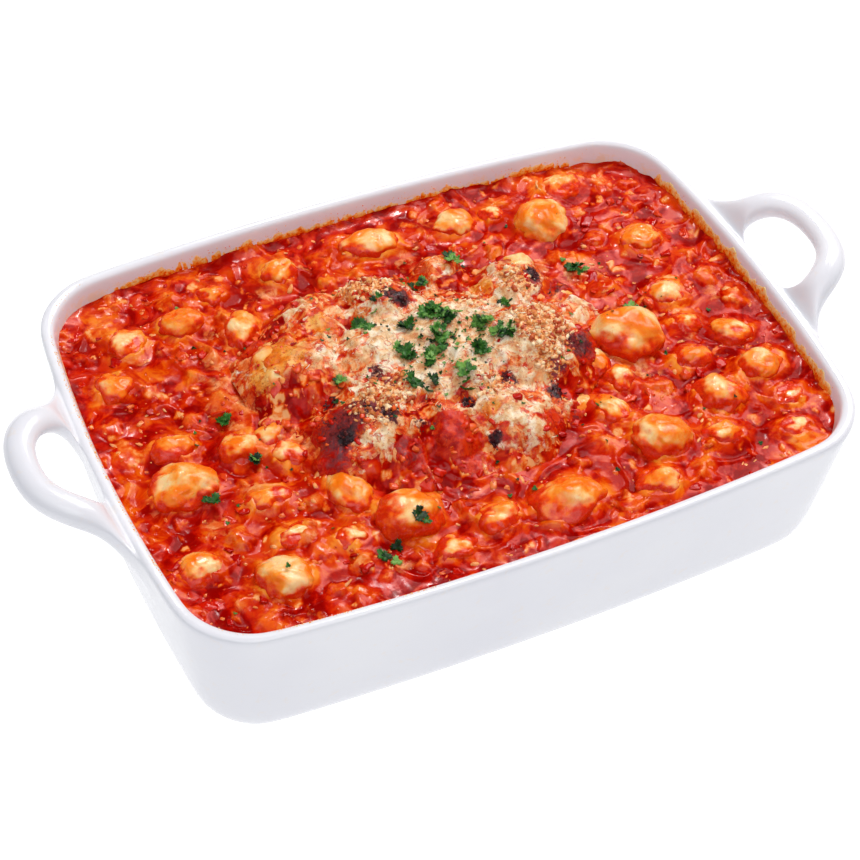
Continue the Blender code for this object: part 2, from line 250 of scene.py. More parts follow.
def srgb(red, green, blue):
    """A colour given in the usual 0 to 255 as the linear values that a shader takes."""
    values = []
    for value in (red, green, blue):
        share = value / 255
        values.append(share / 12.92 if share <= 0.04045 else ((share + 0.055) / 1.055) ** 2.4)
    return (*values, 1)


class Paint:
    """A Principled material with short calls for the layers that its colour and relief are made of."""

    def __init__(self, name, **values):
        self.material = bpy.data.materials.new(name)
        self.material.use_nodes = True
        self.tree = self.material.node_tree
        self.shader = self.tree.nodes["Principled BSDF"]
        self.feed(self.shader, {socket.replace("_", " "): value for socket, value in values.items()})
        self.where = self.tree.nodes.new("ShaderNodeTexCoord").outputs["Object"]

    def feed(self, node, inputs):
        """Links or sets each input, by its name or number."""
        for socket, value in inputs.items():
            if isinstance(value, bpy.types.NodeSocket):
                self.tree.links.new(value, node.inputs[socket])
            else:
                node.inputs[socket].default_value = value

    def node(self, kind, inputs, **settings):
        made = self.tree.nodes.new(kind)
        for setting, value in settings.items():
            setattr(made, setting, value)
        self.feed(made, inputs)
        return made

    def noise(self, size, detail=3.0, rough=0.5, twist=0.0):
        """Cloudy noise whose patches are about size mm across."""
        inputs = {"Vector": self.where, "Scale": 1 / (size * MM)}
        inputs |= {"Detail": detail, "Roughness": rough, "Distortion": twist}
        return self.node("ShaderNodeTexNoise", inputs).outputs["Fac"]

    def attribute(self, name):
        return self.node("ShaderNodeAttribute", {}, attribute_name=name).outputs["Fac"]

    def reshape(self, value, low, high, to_low=0.0, to_high=1.0):
        inputs = {"Value": value, "From Min": low, "From Max": high, "To Min": to_low, "To Max": to_high}
        return self.node("ShaderNodeMapRange", inputs, interpolation_type="SMOOTHSTEP").outputs["Result"]

    def sum(self, first, second, share=1.0):
        inputs = {0: second, 1: share, 2: first}
        return self.node("ShaderNodeMath", inputs, operation="MULTIPLY_ADD").outputs[0]

    def times(self, first, second):
        return self.node("ShaderNodeMath", {0: first, 1: second}, operation="MULTIPLY").outputs[0]

    def ragged(self, value, share, low, high, *cloudy):
        """A value, or the attribute of that name, with its edges broken up by noise between low and high."""
        value = self.attribute(value) if isinstance(value, str) else value
        return self.sum(value, self.reshape(self.noise(*cloudy), low, high, -0.5, 0.5), share)

    def ramp(self, value, *stops):
        """Colours along a value: each stop is its place and its 0 to 255 colour."""
        ramp = self.node("ShaderNodeValToRGB", {"Fac": value})
        elements = ramp.color_ramp.elements
        while len(elements) < len(stops):
            elements.new(0.5)
        for element, (place, colour) in zip(elements, stops):
            element.position = place
            element.color = srgb(*colour)
        return ramp.outputs["Color"]

    def mix(self, share, below, above):
        return self.node("ShaderNodeMix", {0: share, 6: below, 7: above}, data_type="RGBA").outputs[2]

    def flecks(self, below, colour, share, low, high, *cloudy):
        """A share of a 0 to 255 colour where noise is above low, and most of it above high."""
        return self.mix(self.times(self.reshape(self.noise(*cloudy), low, high), share), below, srgb(*colour))

    def colour(self, socket):
        self.feed(self.shader, {"Base Color": socket})

    def roughness(self, smooth, rough, low, high, *cloudy):
        """Roughness that wanders from smooth to rough with noise between low and high."""
        self.feed(self.shader, {"Roughness": self.reshape(self.noise(*cloudy), low, high, smooth, rough)})

    def relief(self, *layers):
        """Fine relief: each layer is its height socket and its depth in mm."""
        inputs = {}
        for height, depth in layers:
            inputs |= {"Height": height, "Distance": depth * MM, "Strength": 1.0}
            inputs = {"Normal": self.node("ShaderNodeBump", inputs).outputs["Normal"]}
        self.feed(self.shader, inputs)

    def soften(self, weight, radius, scale):
        """Light that enters and leaves again nearby."""
        spread = {"Subsurface Weight": weight, "Subsurface Radius": radius, "Subsurface Scale": scale * MM}
        self.feed(self.shader, spread)


def make_glaze():
    """White and glossy, with a faint stain where the sauce has stood against it."""
    paint = Paint("white_glaze", IOR=1.5)
    white = paint.ramp(paint.noise(60, 2), (0.3, (232, 232, 238)), (0.7, (238, 238, 242)))
    blotches = paint.reshape(paint.noise(5, 5, 0.65, 0.5), 0.3, 0.7, -0.4, 0.4)
    stain = paint.reshape(paint.sum(paint.attribute("stain"), blotches), 0.2, 0.9, 0, 0.7)
    paint.colour(paint.mix(stain, white, srgb(246, 218, 180)))
    paint.roughness(0.1, 0.2, 0.3, 0.7, 25, 3)
    paint.relief((paint.noise(18, 2), 0.12), (paint.noise(1.2, 2), 0.004))
    return paint.material


def make_sauce_paint():
    """Deep red where it lies low, partly as painted shade, orange where oil has risen, and peach on the chips
    sunk in it.
    """
    paint = Paint("tomato_sauce", IOR=1.36)
    # painted shade: the red below darkens with the rise attribute, so the sauce's low places and hollows are
    # painted darker
    height = paint.ragged("rise", 0.7, 0.36, 0.64, 12, 4, 0.6, 0.8)
    red = paint.ramp(
        height,
        (0.1, (142, 2, 0)), (0.35, (176, 10, 0)), (0.55, (200, 30, 0)),
        (0.8, (218, 60, 2)), (1.0, (232, 96, 16)),
    )
    oily = paint.ramp(
        height,
        (0.1, (178, 18, 0)), (0.45, (208, 54, 0)), (0.75, (230, 98, 8)), (1.0, (244, 142, 44)),
    )
    oil = paint.sum(paint.reshape(paint.noise(18, 4, 0.6, 0.6), 0.46, 0.62), paint.attribute("oil"), 0.8)
    body = paint.mix(paint.reshape(oil, 0.2, 1.0), red, oily)
    chip = paint.ramp(
        paint.ragged("tint", 0.6, 0.35, 0.65, 4.0, 5, 0.6, 0.6),
        (0.1, (210, 40, 0)), (0.4, (228, 82, 12)), (0.7, (240, 130, 52)), (1.0, (250, 182, 118)),
    )
    body = paint.mix(paint.reshape(paint.attribute("tint"), 0.0, 0.6, 0, 0.85), body, chip)
    body = paint.flecks(body, (210, 50, 24), 0.3, 0.54, 0.66, 9, 4, 0.6, 0.5)
    film = paint.ragged("film", 0.6, 0.36, 0.64, 5, 5, 0.65, 0.8)
    cloudy = paint.ramp(
        paint.noise(6, 4, 0.6), (0.4, (224, 94, 32)), (0.5, (234, 126, 62)), (0.6, (244, 166, 108))
    )
    body = paint.mix(paint.reshape(film, 0.3, 1.0, 0, 0.8), body, cloudy)
    paint.colour(paint.flecks(body, (110, 10, 2), 0.5, 0.66, 0.78, 1.4, 3, 0.7))
    paint.roughness(0.12, 0.26, 0.35, 0.65, 7, 3)
    paint.feed(paint.shader, {"Specular IOR Level": paint.reshape(height, 0.15, 0.75, 0.12, 0.45)})
    paint.relief((paint.noise(4.0, 2, 0.5), 0.06))
    return paint.material


def make_dough_paint():
    """Boiled potato dough with a film of sauce where the film attribute says."""
    paint = Paint("gnocchi_dough", IOR=1.4, Coat_Weight=0.25, Coat_Roughness=0.1)
    dough = paint.ramp(
        paint.noise(11, 4, 0.5, 0.3),
        (0.39, (255, 212, 150)), (0.46, (255, 182, 100)), (0.52, (254, 148, 44)), (0.59, (250, 118, 8)),
    )
    dough = paint.flecks(dough, (252, 134, 30), 0.45, 0.54, 0.68, 3, 5, 0.7, 1.0)
    dough = paint.flecks(dough, (214, 100, 30), 0.3, 0.7, 0.76, 0.8, 2, 0.5)
    film = paint.ramp(
        paint.ragged("film", 0.35, 0.3, 0.7, 4, 4, 0.6, 0.5),
        (0.1, (255, 164, 76)), (0.4, (252, 122, 26)), (0.7, (240, 78, 4)), (1.0, (216, 40, 0)),
    )
    share = paint.ragged("film", 0.2, 0.3, 0.7, 2.4, 5, 0.7)
    paint.colour(paint.mix(paint.reshape(share, -0.1, 0.9), dough, film))
    paint.roughness(0.16, 0.32, 0.3, 0.7, 4, 3)
    paint.relief((paint.noise(3.0, 4, 0.6, 0.6), 0.22), (paint.noise(0.6, 3, 0.6), 0.04))
    paint.soften(0.35, (1.0, 0.4, 0.15), 3)
    return paint.material


def make_cheese_paint():
    """Melted cheese: cream where thick, orange and red where thin, browned and charred by attributes."""
    paint = Paint("melted_cheese", IOR=1.4)
    cream = paint.ramp(
        paint.noise(5, 5, 0.6, 0.4),
        (0.36, (220, 150, 92)), (0.45, (236, 190, 136)), (0.53, (244, 216, 174)), (0.62, (254, 238, 210)),
    )
    stained = paint.ramp(
        paint.noise(6, 5, 0.62, 0.8),
        (0.38, (194, 14, 0)), (0.46, (224, 62, 6)), (0.53, (240, 124, 48)), (0.61, (248, 180, 120)),
    )
    gold = paint.ramp(
        paint.noise(1.6, 5, 0.72),
        (0.36, (140, 32, 10)), (0.45, (218, 104, 40)), (0.53, (250, 184, 106)), (0.62, (255, 236, 188)),
    )
    yellow = paint.ramp(
        paint.noise(8, 4, 0.6, 0.4), (0.38, (222, 84, 4)), (0.5, (240, 138, 30)), (0.6, (248, 184, 90))
    )
    sauce = paint.ramp(paint.noise(8, 4), (0.4, (176, 8, 0)), (0.6, (214, 44, 4)))
    stained = paint.mix(paint.reshape(paint.attribute("cover"), -0.2, 0.3), sauce, stained)
    thick = paint.reshape(paint.attribute("cover"), -0.3, 1.2, -0.3, 0.95)
    cover = paint.ragged(thick, 1.0, 0.34, 0.66, 7, 5, 0.62, 0.6)
    body = paint.mix(paint.reshape(cover, 0.25, 0.8), stained, cream)
    smooth = paint.ragged("orange", 0.7, 0.36, 0.64, 7, 5, 0.7)
    body = paint.mix(paint.reshape(smooth, 0.35, 0.7, 0, 0.85), body, yellow)
    brown = paint.ragged("brown", 0.9, 0.3, 0.7, 2.6, 5, 0.72)
    body = paint.mix(paint.reshape(brown, 0.3, 0.7, 0, 0.95), body, gold)
    specks = paint.reshape(paint.noise(0.9, 2, 0.5), 0.6, 0.66)
    specks = paint.times(specks, paint.reshape(paint.noise(9, 3), 0.4, 0.6, 0.15, 1))
    body = paint.mix(paint.times(specks, 0.5), body, srgb(120, 44, 18))
    body = paint.flecks(body, (190, 66, 18), 0.55, 0.59, 0.65, 2.4, 4, 0.6)
    grain_and_pit_shade = paint.noise(1.5, 4, 0.7)
    # painted shade: the cheese is painted darker in the low places of its fine grain, where the bump below puts
    # pits
    body = paint.mix(paint.reshape(grain_and_pit_shade, 0.38, 0.46, 0.25, 0), body, srgb(186, 92, 44))
    wet = paint.reshape(paint.ragged("wet", 1.3, 0.36, 0.64, 4, 6, 0.7, 0.8), 0.4, 0.75)
    # the purple end of the juice stands partly for a painted lilac sheen on dark red juice
    juice = paint.ramp(
        paint.ragged("purple", 0.6, 0.35, 0.65, 5, 4, 0.65),
        (0.0, (216, 52, 6)), (0.2, (194, 14, 0)), (0.4, (162, 14, 4)),
        (0.65, (148, 46, 46)), (1.0, (96, 36, 46)),
    )
    body = paint.mix(wet, body, juice)
    burnt = paint.ragged("char", 0.9, 0.25, 0.75, 2.2, 5, 0.75)
    black = paint.ramp(
        burnt, (0.35, (150, 52, 40)), (0.6, (108, 34, 34)), (0.8, (68, 22, 28)), (1.0, (38, 14, 20))
    )
    paint.colour(paint.mix(paint.reshape(burnt, 0.28, 0.6), body, black))
    paint.feed(paint.shader, {"Roughness": paint.reshape(paint.sum(cover, wet, -1.0), 0.1, 0.8, 0.13, 0.34)})
    paint.relief((grain_and_pit_shade, 0.4), (paint.noise(0.5, 3, 0.7), 0.06))
    paint.soften(0.08, (1.0, 0.6, 0.3), 1.5)
    return paint.material


def make_bit_paint(name, dark, middle, light, rough, soft):
    """For scattered bits: each bit's shade attribute picks its colour."""
    paint = Paint(name, IOR=1.4)
    shade = paint.ragged("shade", 0.35, 0.25, 0.75, 1.3, 4, 0.6)
    paint.colour(paint.ramp(shade, (0.1, dark), (0.5, middle), (0.9, light)))
    paint.roughness(rough * 0.7, rough * 1.3, 0.3, 0.7, 2, 2)
    paint.relief((paint.noise(0.9, 3, 0.6), 0.12))
    paint.soften(soft, (1.0, 0.4, 0.2), 1.5)
    return paint.material


def make_band_paint():
    """Sauce dried on the wall: its shade attribute is 0 at the foot of the band and 1 at its top."""
    paint = Paint("baked_on_sauce", IOR=1.4)
    height = paint.ragged("shade", 0.7, 0.25, 0.75, 2.0, 5, 0.7)
    orange = ((0.1, (222, 38, 0)), (0.35, (248, 100, 0)), (0.6, (255, 162, 44)), (0.9, (255, 222, 150)))
    paint.colour(paint.ramp(height, *orange))
    paint.roughness(0.25, 0.5, 0.3, 0.7, 2, 3)
    paint.relief((paint.noise(1.0, 4, 0.7), 0.3))
    return paint.material


def make_leaf_paint():
    paint = Paint("parsley_leaf", IOR=1.4)
    shade = paint.ragged("shade", 0.5, 0.25, 0.75, 1.6, 4, 0.6)
    green = ((0.05, (12, 42, 12)), (0.35, (36, 90, 24)), (0.65, (60, 120, 34)), (0.95, (120, 166, 74)))
    paint.colour(paint.ramp(shade, *green))
    paint.roughness(0.3, 0.5, 0.3, 0.7, 1, 2)
    paint.relief((paint.noise(0.7, 3, 0.6), 0.12))
    paint.soften(0.1, (0.3, 1.0, 0.2), 0.6)
    return paint.material


# ---------------------------------------------------------------- shared shapes


def finish_piece(name, bm, material, replaces=(), levels=0):
    """The piece as an object at the origin, in metres, on the part's one body."""
    bmesh.ops.scale(bm, vec=(MM, MM, MM), verts=bm.verts)
    mesh = make_mesh(name, bm)
    mesh.materials.append(material)
    mesh.shade_smooth()
    made = bpy.data.objects.new(name, mesh)
    bpy.context.scene.collection.objects.link(made)
    if levels:
        modifier = made.modifiers.new("round", "SUBSURF")
        modifier.levels = modifier.render_levels = levels
    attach(made, "root")
    if replaces:
        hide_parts(*replaces)
    return made


def make_mesh(name, bm):
    mesh = bpy.data.meshes.new(name)
    bm.to_mesh(mesh)
    bm.free()
    return mesh


def box_mm(node):
    low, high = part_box(node)
    return low / MM, high / MM


def smooth_step(share):
    share = np.clip(share, 0, 1)
    return share * share * (3 - 2 * share)


def cloud(x, y, size, octaves=3, seed=0.0):
    """Noise of about -1 to 1 at many places, with patches about size mm across."""
    return np.array([noise.fractal((a, b, seed), 1.0, 2.0, octaves) for a, b in zip(x / size, y / size)])


def pebbles(x, y, size, seed):
    """0 to 1: rounded bumps about size mm apart, of uneven heights."""
    found = [noise.voronoi((a, b, seed)) for a, b in zip(x / size, y / size)]
    near = np.array([distances[0] for distances, _ in found])
    height = np.array([noise.noise(points[0] * 5.3) for _, points in found])
    return np.clip(1 - (near / 0.65) ** 2, 0, 1) ** 1.6 * np.clip(0.5 + 1.2 * height, 0, 1)


def ridges(x, y, size, octaves, seed, thinness):
    """0 to 1: winding lines, thinner as thinness grows."""
    return np.clip(1 - thinness * abs(cloud(x, y, size, octaves, seed)), 0, 1)


def spots(x, y, patches):
    """Sum of soft round patches, each x, y, radius and strength (1 where it isn't given)."""
    total = np.zeros_like(x)
    for spot_x, spot_y, radius, *strength in patches:
        share = np.hypot(x - spot_x, y - spot_y) / radius
        total += (strength[0] if strength else 1) * smooth_step(1.4 - 1.2 * share)
    return total


def spotted(x, y, patches):
    """The same from 0 to 1."""
    return np.clip(spots(x, y, patches), 0, 1)


def wet_places(x, y):
    """0 to 1 where the heap is wet, however purple."""
    return spotted(x, y, [patch[:3] for patch in WET_PATCHES])


def film_cover(x, y):
    """0 to 1: how much of a thin film of cheese lies on the sauce."""
    return np.clip(spots(x, y, FILM_PATCHES) + 0.6 * cloud(x, y, 9, 3, 9.0) - 0.15, 0, 1)


def noise_seed(rng):
    return Vector([rng.uniform(-50, 50) for _ in range(3)])


def ring_of(bm, points):
    """A closed loop of edges through the points."""
    verts = [bm.verts.new(p) for p in points]
    return [bm.edges.new(pair) for pair in zip(verts, verts[1:] + verts[:1])]


def bridge_rings(bm, rings):
    for lower, upper in zip(rings, rings[1:]):
        bmesh.ops.bridge_loops(bm, edges=lower + upper)


def outline(inset, z, corner_steps, long_stops, short_stops):
    """The dish's outline at a height, drawn in by inset from the rim's outer edge."""
    half_x, half_y = RIM_HALF_LENGTH - inset, RIM_HALF_WIDTH - inset
    radius = CORNER_RADIUS - inset / 2
    flat = []
    for quarter, (side_x, side_y) in enumerate(((1, 1), (-1, 1), (-1, -1), (1, -1))):
        for step in range(corner_steps + 1):
            angle = math.radians(90) * (quarter + step / corner_steps)
            x = side_x * (half_x - radius) + radius * math.cos(angle)
            flat.append((x, side_y * (half_y - radius) + radius * math.sin(angle)))
        if quarter % 2 == 0:
            flat += [(-side_x * stop, side_y * half_y) for stop in long_stops]
        else:
            flat += [(side_x * half_x, side_x * stop) for stop in short_stops]
    bow = FOOT_BOW + (RIM_BOW - FOOT_BOW) * z / DISH_HEIGHT
    bowed = []
    for x, y in flat:
        out_x = bow * (1 - (y / half_y) ** 2) * x / half_x
        out_y = bow * (1 - (x / half_x) ** 2) * y / half_y
        bowed.append((x + out_x, y + out_y, z))
    return bowed


def wall_inset(z):
    return WALL_LEAN * (1 - z / DISH_HEIGHT)


def basin_inset(z):
    """How far the basin's inside lies in from the rim's outer edge at a height above its rounding."""
    return wall_inset(z) + WALL


def rounding(radius, degrees):
    """How far in and up a wall's rounding is: from a whole radius in at 0 degrees to one up at 90."""
    angle = math.radians(degrees)
    return radius * (1 - math.sin(angle)), radius * (1 - math.cos(angle))


def basin_reach(inset, z):
    """How far the outline is from the middle in each direction: angles and radii, both in order."""
    points = np.array(outline(inset, z, 16, np.linspace(-112, 112, 29), np.linspace(-74, 74, 19)))
    angles = np.arctan2(points[:, 1], points[:, 0])
    order = np.argsort(angles)
    return angles[order], np.hypot(points[:, 0], points[:, 1])[order]


@functools.cache
def basin_reach_at(quarters):
    """The basin's reach at a height that is given in quarters of a millimetre."""
    return basin_reach(basin_inset(quarters / 4), quarters / 4)


def reach_share(x, y, reach):
    """1 on the outline, less inside it."""
    return np.hypot(x, y) / np.interp(np.arctan2(y, x), *reach, period=math.tau)


def wall_place(angle, height, reach, out=0.0):
    """The place on an outline in a direction from the middle, out mm beyond it."""
    radius = np.interp(angle, *reach, period=math.tau) + out
    return radius * math.cos(angle), radius * math.sin(angle), height


def make_grid(low, high, pitch):
    """A flat grid as a bmesh, with the x and y of its vertices."""
    sides = high[0] - low[0], high[1] - low[1]
    bm = bmesh.new()
    bmesh.ops.create_grid(
        bm, x_segments=math.ceil(sides[0] / pitch), y_segments=math.ceil(sides[1] / pitch), size=0.5
    )
    bmesh.ops.scale(bm, vec=(*sides, 1), verts=bm.verts)
    bmesh.ops.translate(bm, vec=((low[0] + high[0]) / 2, (low[1] + high[1]) / 2, 0), verts=bm.verts)
    flat = np.array([vert.co[:2] for vert in bm.verts])
    return bm, flat[:, 0], flat[:, 1]


def set_heights(bm, x, y, z, **attributes):
    """Moves each vertex to its place and gives it its attributes, in the order of the vertices."""
    layers = {name: bm.verts.layers.float.new(name) for name in attributes}
    for vert, place in zip(bm.verts, np.stack((x, y, z), axis=1)):
        vert.co = place
    for name, values in attributes.items():
        layer = layers[name]
        for vert, value in zip(bm.verts, values):
            vert[layer] = value


def drop_faces(bm, hidden):
    """Deletes the faces whose vertices are all marked, and the vertices that this leaves loose."""
    for vert, mark in zip(bm.verts, hidden):
        vert.tag = bool(mark)
    gone = [face for face in bm.faces if all(vert.tag for vert in face.verts)]
    bmesh.ops.delete(bm, geom=gone, context="FACES")
    loose = [vert for vert in bm.verts if not vert.link_faces]
    bmesh.ops.delete(bm, geom=loose, context="VERTS")


def close_below(bm, reaches):
    """Walls down from the open edge through each depth, out to its reach if it has one, and a floor."""
    edges = [edge for edge in bm.edges if edge.is_boundary]
    for depth, reach in reaches.items():
        made = bmesh.ops.extrude_edge_only(bm, edges=edges)["geom"]
        edges = [part for part in made if isinstance(part, bmesh.types.BMEdge)]
        for vert in (part for part in made if isinstance(part, bmesh.types.BMVert)):
            vert.co.z = depth
            if reach:
                wanted = np.interp(math.atan2(vert.co.y, vert.co.x), *reach, period=math.tau)
                vert.co.xy *= wanted / vert.co.xy.length
    bmesh.ops.contextual_create(bm, geom=edges)
    bmesh.ops.recalc_face_normals(bm, faces=bm.faces)


# ---------------------------------------------------------------- dish


def loop_point(size, angle):
    """A point on a handle's outer or inner edge, seen from above: the roots at -90 and 90 degrees."""
    reach, half_length, squareness, flare = size
    power = 2 / squareness
    share = abs(math.cos(angle)) ** power
    y = half_length * abs(math.sin(angle)) ** power
    y += flare * max(0, 1 - share / HANDLE_FLARE_SHARE) ** 2
    return Vector((HANDLE_ROOT_X + share * reach, math.copysign(y, angle), 0))


def handle_sections(side):
    """Loops of points round a handle, from one root to the other; side is 1 at +X and -1 at -X."""
    sections = []
    for step in range(1, HANDLE_STEPS):
        angle = math.radians(180 * step / HANDLE_STEPS - 90)
        outer, inner = loop_point(HANDLE_OUTER, angle), loop_point(HANDLE_INNER, angle)
        middle, across = (outer + inner) / 2, (outer - inner) / 2
        still_to_go = 1 - abs(math.cos(angle)) ** (2 / HANDLE_OUTER[2])
        middle.z = DISH_HEIGHT - HANDLE_ROOT_DROP + HANDLE_RISE * (1 - still_to_go**2.2)
        thickness = HANDLE_HALF_THICKNESS + HANDLE_ROOT_SWELL * still_to_go**2
        section = []
        for turn in range(HANDLE_SIDES):
            around = math.tau * turn / HANDLE_SIDES
            from_middle = across * math.cos(around) + Vector((0, 0, thickness * math.sin(around)))
            point = middle + HANDLE_ROUNDING * from_middle
            section.append((side * point.x, side * point.y, point.z))
        sections.append(section)
    return sections


def dish_profile():
    """(inset, height) of each ring, from under the foot, up the outside and down to the basin's floor."""
    profile = [(wall_inset(0) + FOOT_RADIUS + 30, 0), (wall_inset(0) + FOOT_RADIUS + 2, 0)]
    for degrees in (0, 30, 60, 90):
        inward, z = rounding(FOOT_RADIUS, degrees)
        profile.append((wall_inset(z) + inward, z))
    profile += [(wall_inset(z), z) for z in OUTSIDE_STOPS]
    profile.append((wall_inset(LIP_START) + LIP_FLARE, LIP_START))
    half_lip = WALL / 2
    for degrees in (28, 60, 90, 135, 180):
        angle = math.radians(degrees)
        inset = half_lip - LIP_ROUNDING * half_lip * math.cos(angle)
        profile.append((inset, DISH_HEIGHT - half_lip + LIP_ROUNDING * half_lip * math.sin(angle)))
    profile += [(basin_inset(z), z) for z in INSIDE_STOPS]
    for degrees in (90, 60, 30, 0):
        inward, up = rounding(BASIN_RADIUS, degrees)
        profile.append((basin_inset(FLOOR + up) + inward, FLOOR + up))
    profile.append((basin_inset(FLOOR) + BASIN_RADIUS + 30, FLOOR))
    return profile


def make_dish():
    """One cage of rings with both handles grown out of patches of the end walls, then subdivided."""
    bm = bmesh.new()
    stain = bm.verts.layers.float.new("stain")
    rings = []
    for inset, z in dish_profile():
        rings.append(ring_of(bm, outline(inset, z, CORNER_STEPS, LONG_STOPS, SHORT_STOPS)))
        if inset > basin_inset(z) - 0.1 and FLOOR < z < LIP_START:
            for edge in rings[-1]:
                edge.verts[0][stain] = edge.verts[1][stain] = 1
    bridge_rings(bm, rings)
    bmesh.ops.contextual_create(bm, geom=rings[0])
    bmesh.ops.contextual_create(bm, geom=rings[-1])
    for side in (1, -1):
        sections = [ring_of(bm, section) for section in handle_sections(side)]
        bridge_rings(bm, sections)
        for section, end in ((sections[0], -1), (sections[-1], 1)):
            root = Vector((side * RIM_HALF_LENGTH, side * end * ROOT_MIDDLE, LIP_START))
            outer_wall = [vert for vert in bm.verts if vert.link_faces and abs(vert.co.z - root.z) < 0.01]
            middle = min(outer_wall, key=lambda vert: (vert.co - root).length)
            patch = [edge for face in middle.link_faces for edge in face.edges if middle not in edge.verts]
            bmesh.ops.delete(bm, geom=[middle], context="VERTS")
            bmesh.ops.bridge_loops(bm, edges=patch + section)
    bmesh.ops.recalc_face_normals(bm, faces=bm.faces)
    return finish_piece("oven_dish", bm, make_glaze(), ["dish"], levels=3)


# ---------------------------------------------------------------- gnocchi


class Gnocco:
    """Where a gnocco lies and how big it is, in millimetres."""

    def __init__(self, middle, length, width, turn, coat):
        self.middle = Vector(middle)
        self.half = Vector((length / 2, width / 2, width * GNOCCO_FLATNESS / 2))
        self.turn = turn
        self.coat = coat

    def local(self, x, y):
        """Places from above in the gnocco's own half lengths: 1 is its outline at its widest."""
        dx, dy = x - self.middle.x, y - self.middle.y
        along = (dx * math.cos(self.turn) + dy * math.sin(self.turn)) / self.half.x
        across = (dy * math.cos(self.turn) - dx * math.sin(self.turn)) / self.half.y
        return along, across

    def gap(self, x, y, level):
        """About how many mm a place is outside the line where the gnocco comes out of a level."""
        sunk = min(0.95, max(-0.95, (level - self.middle.z) / self.half.z))
        return (np.hypot(*self.local(x, y)) - math.sqrt(1 - sunk**2)) * self.half.y

    def top(self, x, y):
        """Height of its upper side, or far below where it isn't."""
        along, across = self.local(x, y)
        left = 1 - along**2 - across**2
        return np.where(left > 0, self.middle.z + self.half.z * np.sqrt(np.clip(left, 0, 1)), -99)


def gnocco_from(node, coat):
    """Reads a gnocco's lie from its solid: the middle, the longest way and the widths."""
    co = np.array([vert.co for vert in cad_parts[node].data.vertices]) / MM
    low, high = co.min(0), co.max(0)
    flat = co[:, :2] - (low[:2] + high[:2]) / 2
    _, ways = np.linalg.eigh(flat.T @ flat)
    length, width = np.ptp(flat @ ways[:, 1]), np.ptp(flat @ ways[:, 0])
    half_height = width * GNOCCO_FLATNESS / 2
    middle = (*(low[:2] + high[:2]) / 2, high[2] - GNOCCO_DENT * half_height)
    turn = math.atan2(ways[1, 1], ways[0, 1])
    return Gnocco(middle, length * GNOCCO_SWELL, width * GNOCCO_SWELL, turn, coat)


def add_gnocco(bm, lie, level, rng):
    """One dumpling: an egg with flattened places, folds and fine wrinkles, and its film attribute, which also
    holds painted light on one side.
    """
    film_layer = bm.verts.layers.float.get("film") or bm.verts.layers.float.new("film")
    start = len(bm.verts)
    bmesh.ops.create_icosphere(bm, subdivisions=GNOCCO_DETAIL, radius=1)
    bm.verts.ensure_lookup_table()
    seed = noise_seed(rng)
    flats = []
    for _ in range(5):
        way = Vector([rng.gauss(0, 1) for _ in range(3)]).normalized()
        flats.append((way, rng.uniform(0.76, 0.9)))
    spin = Matrix.Rotation(lie.turn, 3, "Z")
    tip = rng.choice((-1, 1))
    rise = lie.middle.z + lie.half.z - level
    for vert in bm.verts[start:]:
        way = vert.co.normalized()
        radius = 1.01 + 0.125 * noise.fractal(way * 1.4 + seed, 1.0, 2.0, 2)
        for flat, limit in flats:
            over = way.dot(flat) * radius - limit
            if over > 0:
                radius -= 0.9 * over * over / (over + 0.05)
        radius -= 0.13 * max(0, noise.noise(way * 2.2 - seed)) ** 1.3
        radius -= 0.045 * max(0, 1 - 6 * abs(noise.noise(way * 1.5 - 2 * seed))) ** 2
        radius += 0.012 * noise.fractal(way * 4.5 + seed, 0.8, 2.0, 3)
        place = Vector((way.x * lie.half.x, way.y * lie.half.y, way.z * lie.half.z)) * radius
        place.y *= 1 + GNOCCO_TAPER * tip * way.x
        # painted light and shade: the film is made thinner on the side towards the key light and thicker on the
        # far side
        height = (lie.middle.z + place.z - level) / rise + LIT_SIDE_SHARE * (spin @ way).dot(LIT_SIDE_WAY)
        patchy = 0.45 * noise.fractal(way * 1.7 - seed, 1.0, 2.0, 3) + 0.12 * noise.noise(way * 5 + seed)
        film = min(1, max(0, 1.0 + 1.8 * (0.7 * lie.coat - height + patchy)))
        place *= 1 + 0.2 * film / lie.half.x
        vert.co = lie.middle + spin @ place
        vert[film_layer] = film


def make_gnocchi(paint, rng):
    """Each gnocco that shows stands for its own solid."""
    lies = []
    for name, coat in COATS.items():
        node = f"gnocco_{name}"
        lies.append(gnocco_from(node, coat))
        bm = bmesh.new()
        add_gnocco(bm, lies[-1], SAUCE_LEVEL, rng)
        finish_piece(f"dumpling_{name}", bm, paint, [node])
    return lies


# ---------------------------------------------------------------- sauce


def random_place(rng):
    return rng.uniform(-RIM_HALF_LENGTH, RIM_HALF_LENGTH), rng.uniform(-RIM_HALF_WIDTH, RIM_HALF_WIDTH)


def make_chips(rng):
    """Flat chips sunk in the sauce: each its middle, half length, half width, turn, height and tint."""
    small, large = CHIP_HALF_LENGTHS
    chips = []
    for _ in range(CHIP_COUNT):
        x, y = random_place(rng)
        long = small + (large - small) * rng.random() ** 1.6
        wide = long * rng.uniform(0.35, 0.85)
        chips.append((x, y, long, wide, rng.uniform(0, math.pi), rng.uniform(0.3, 1.1), rng.random()))
    return chips


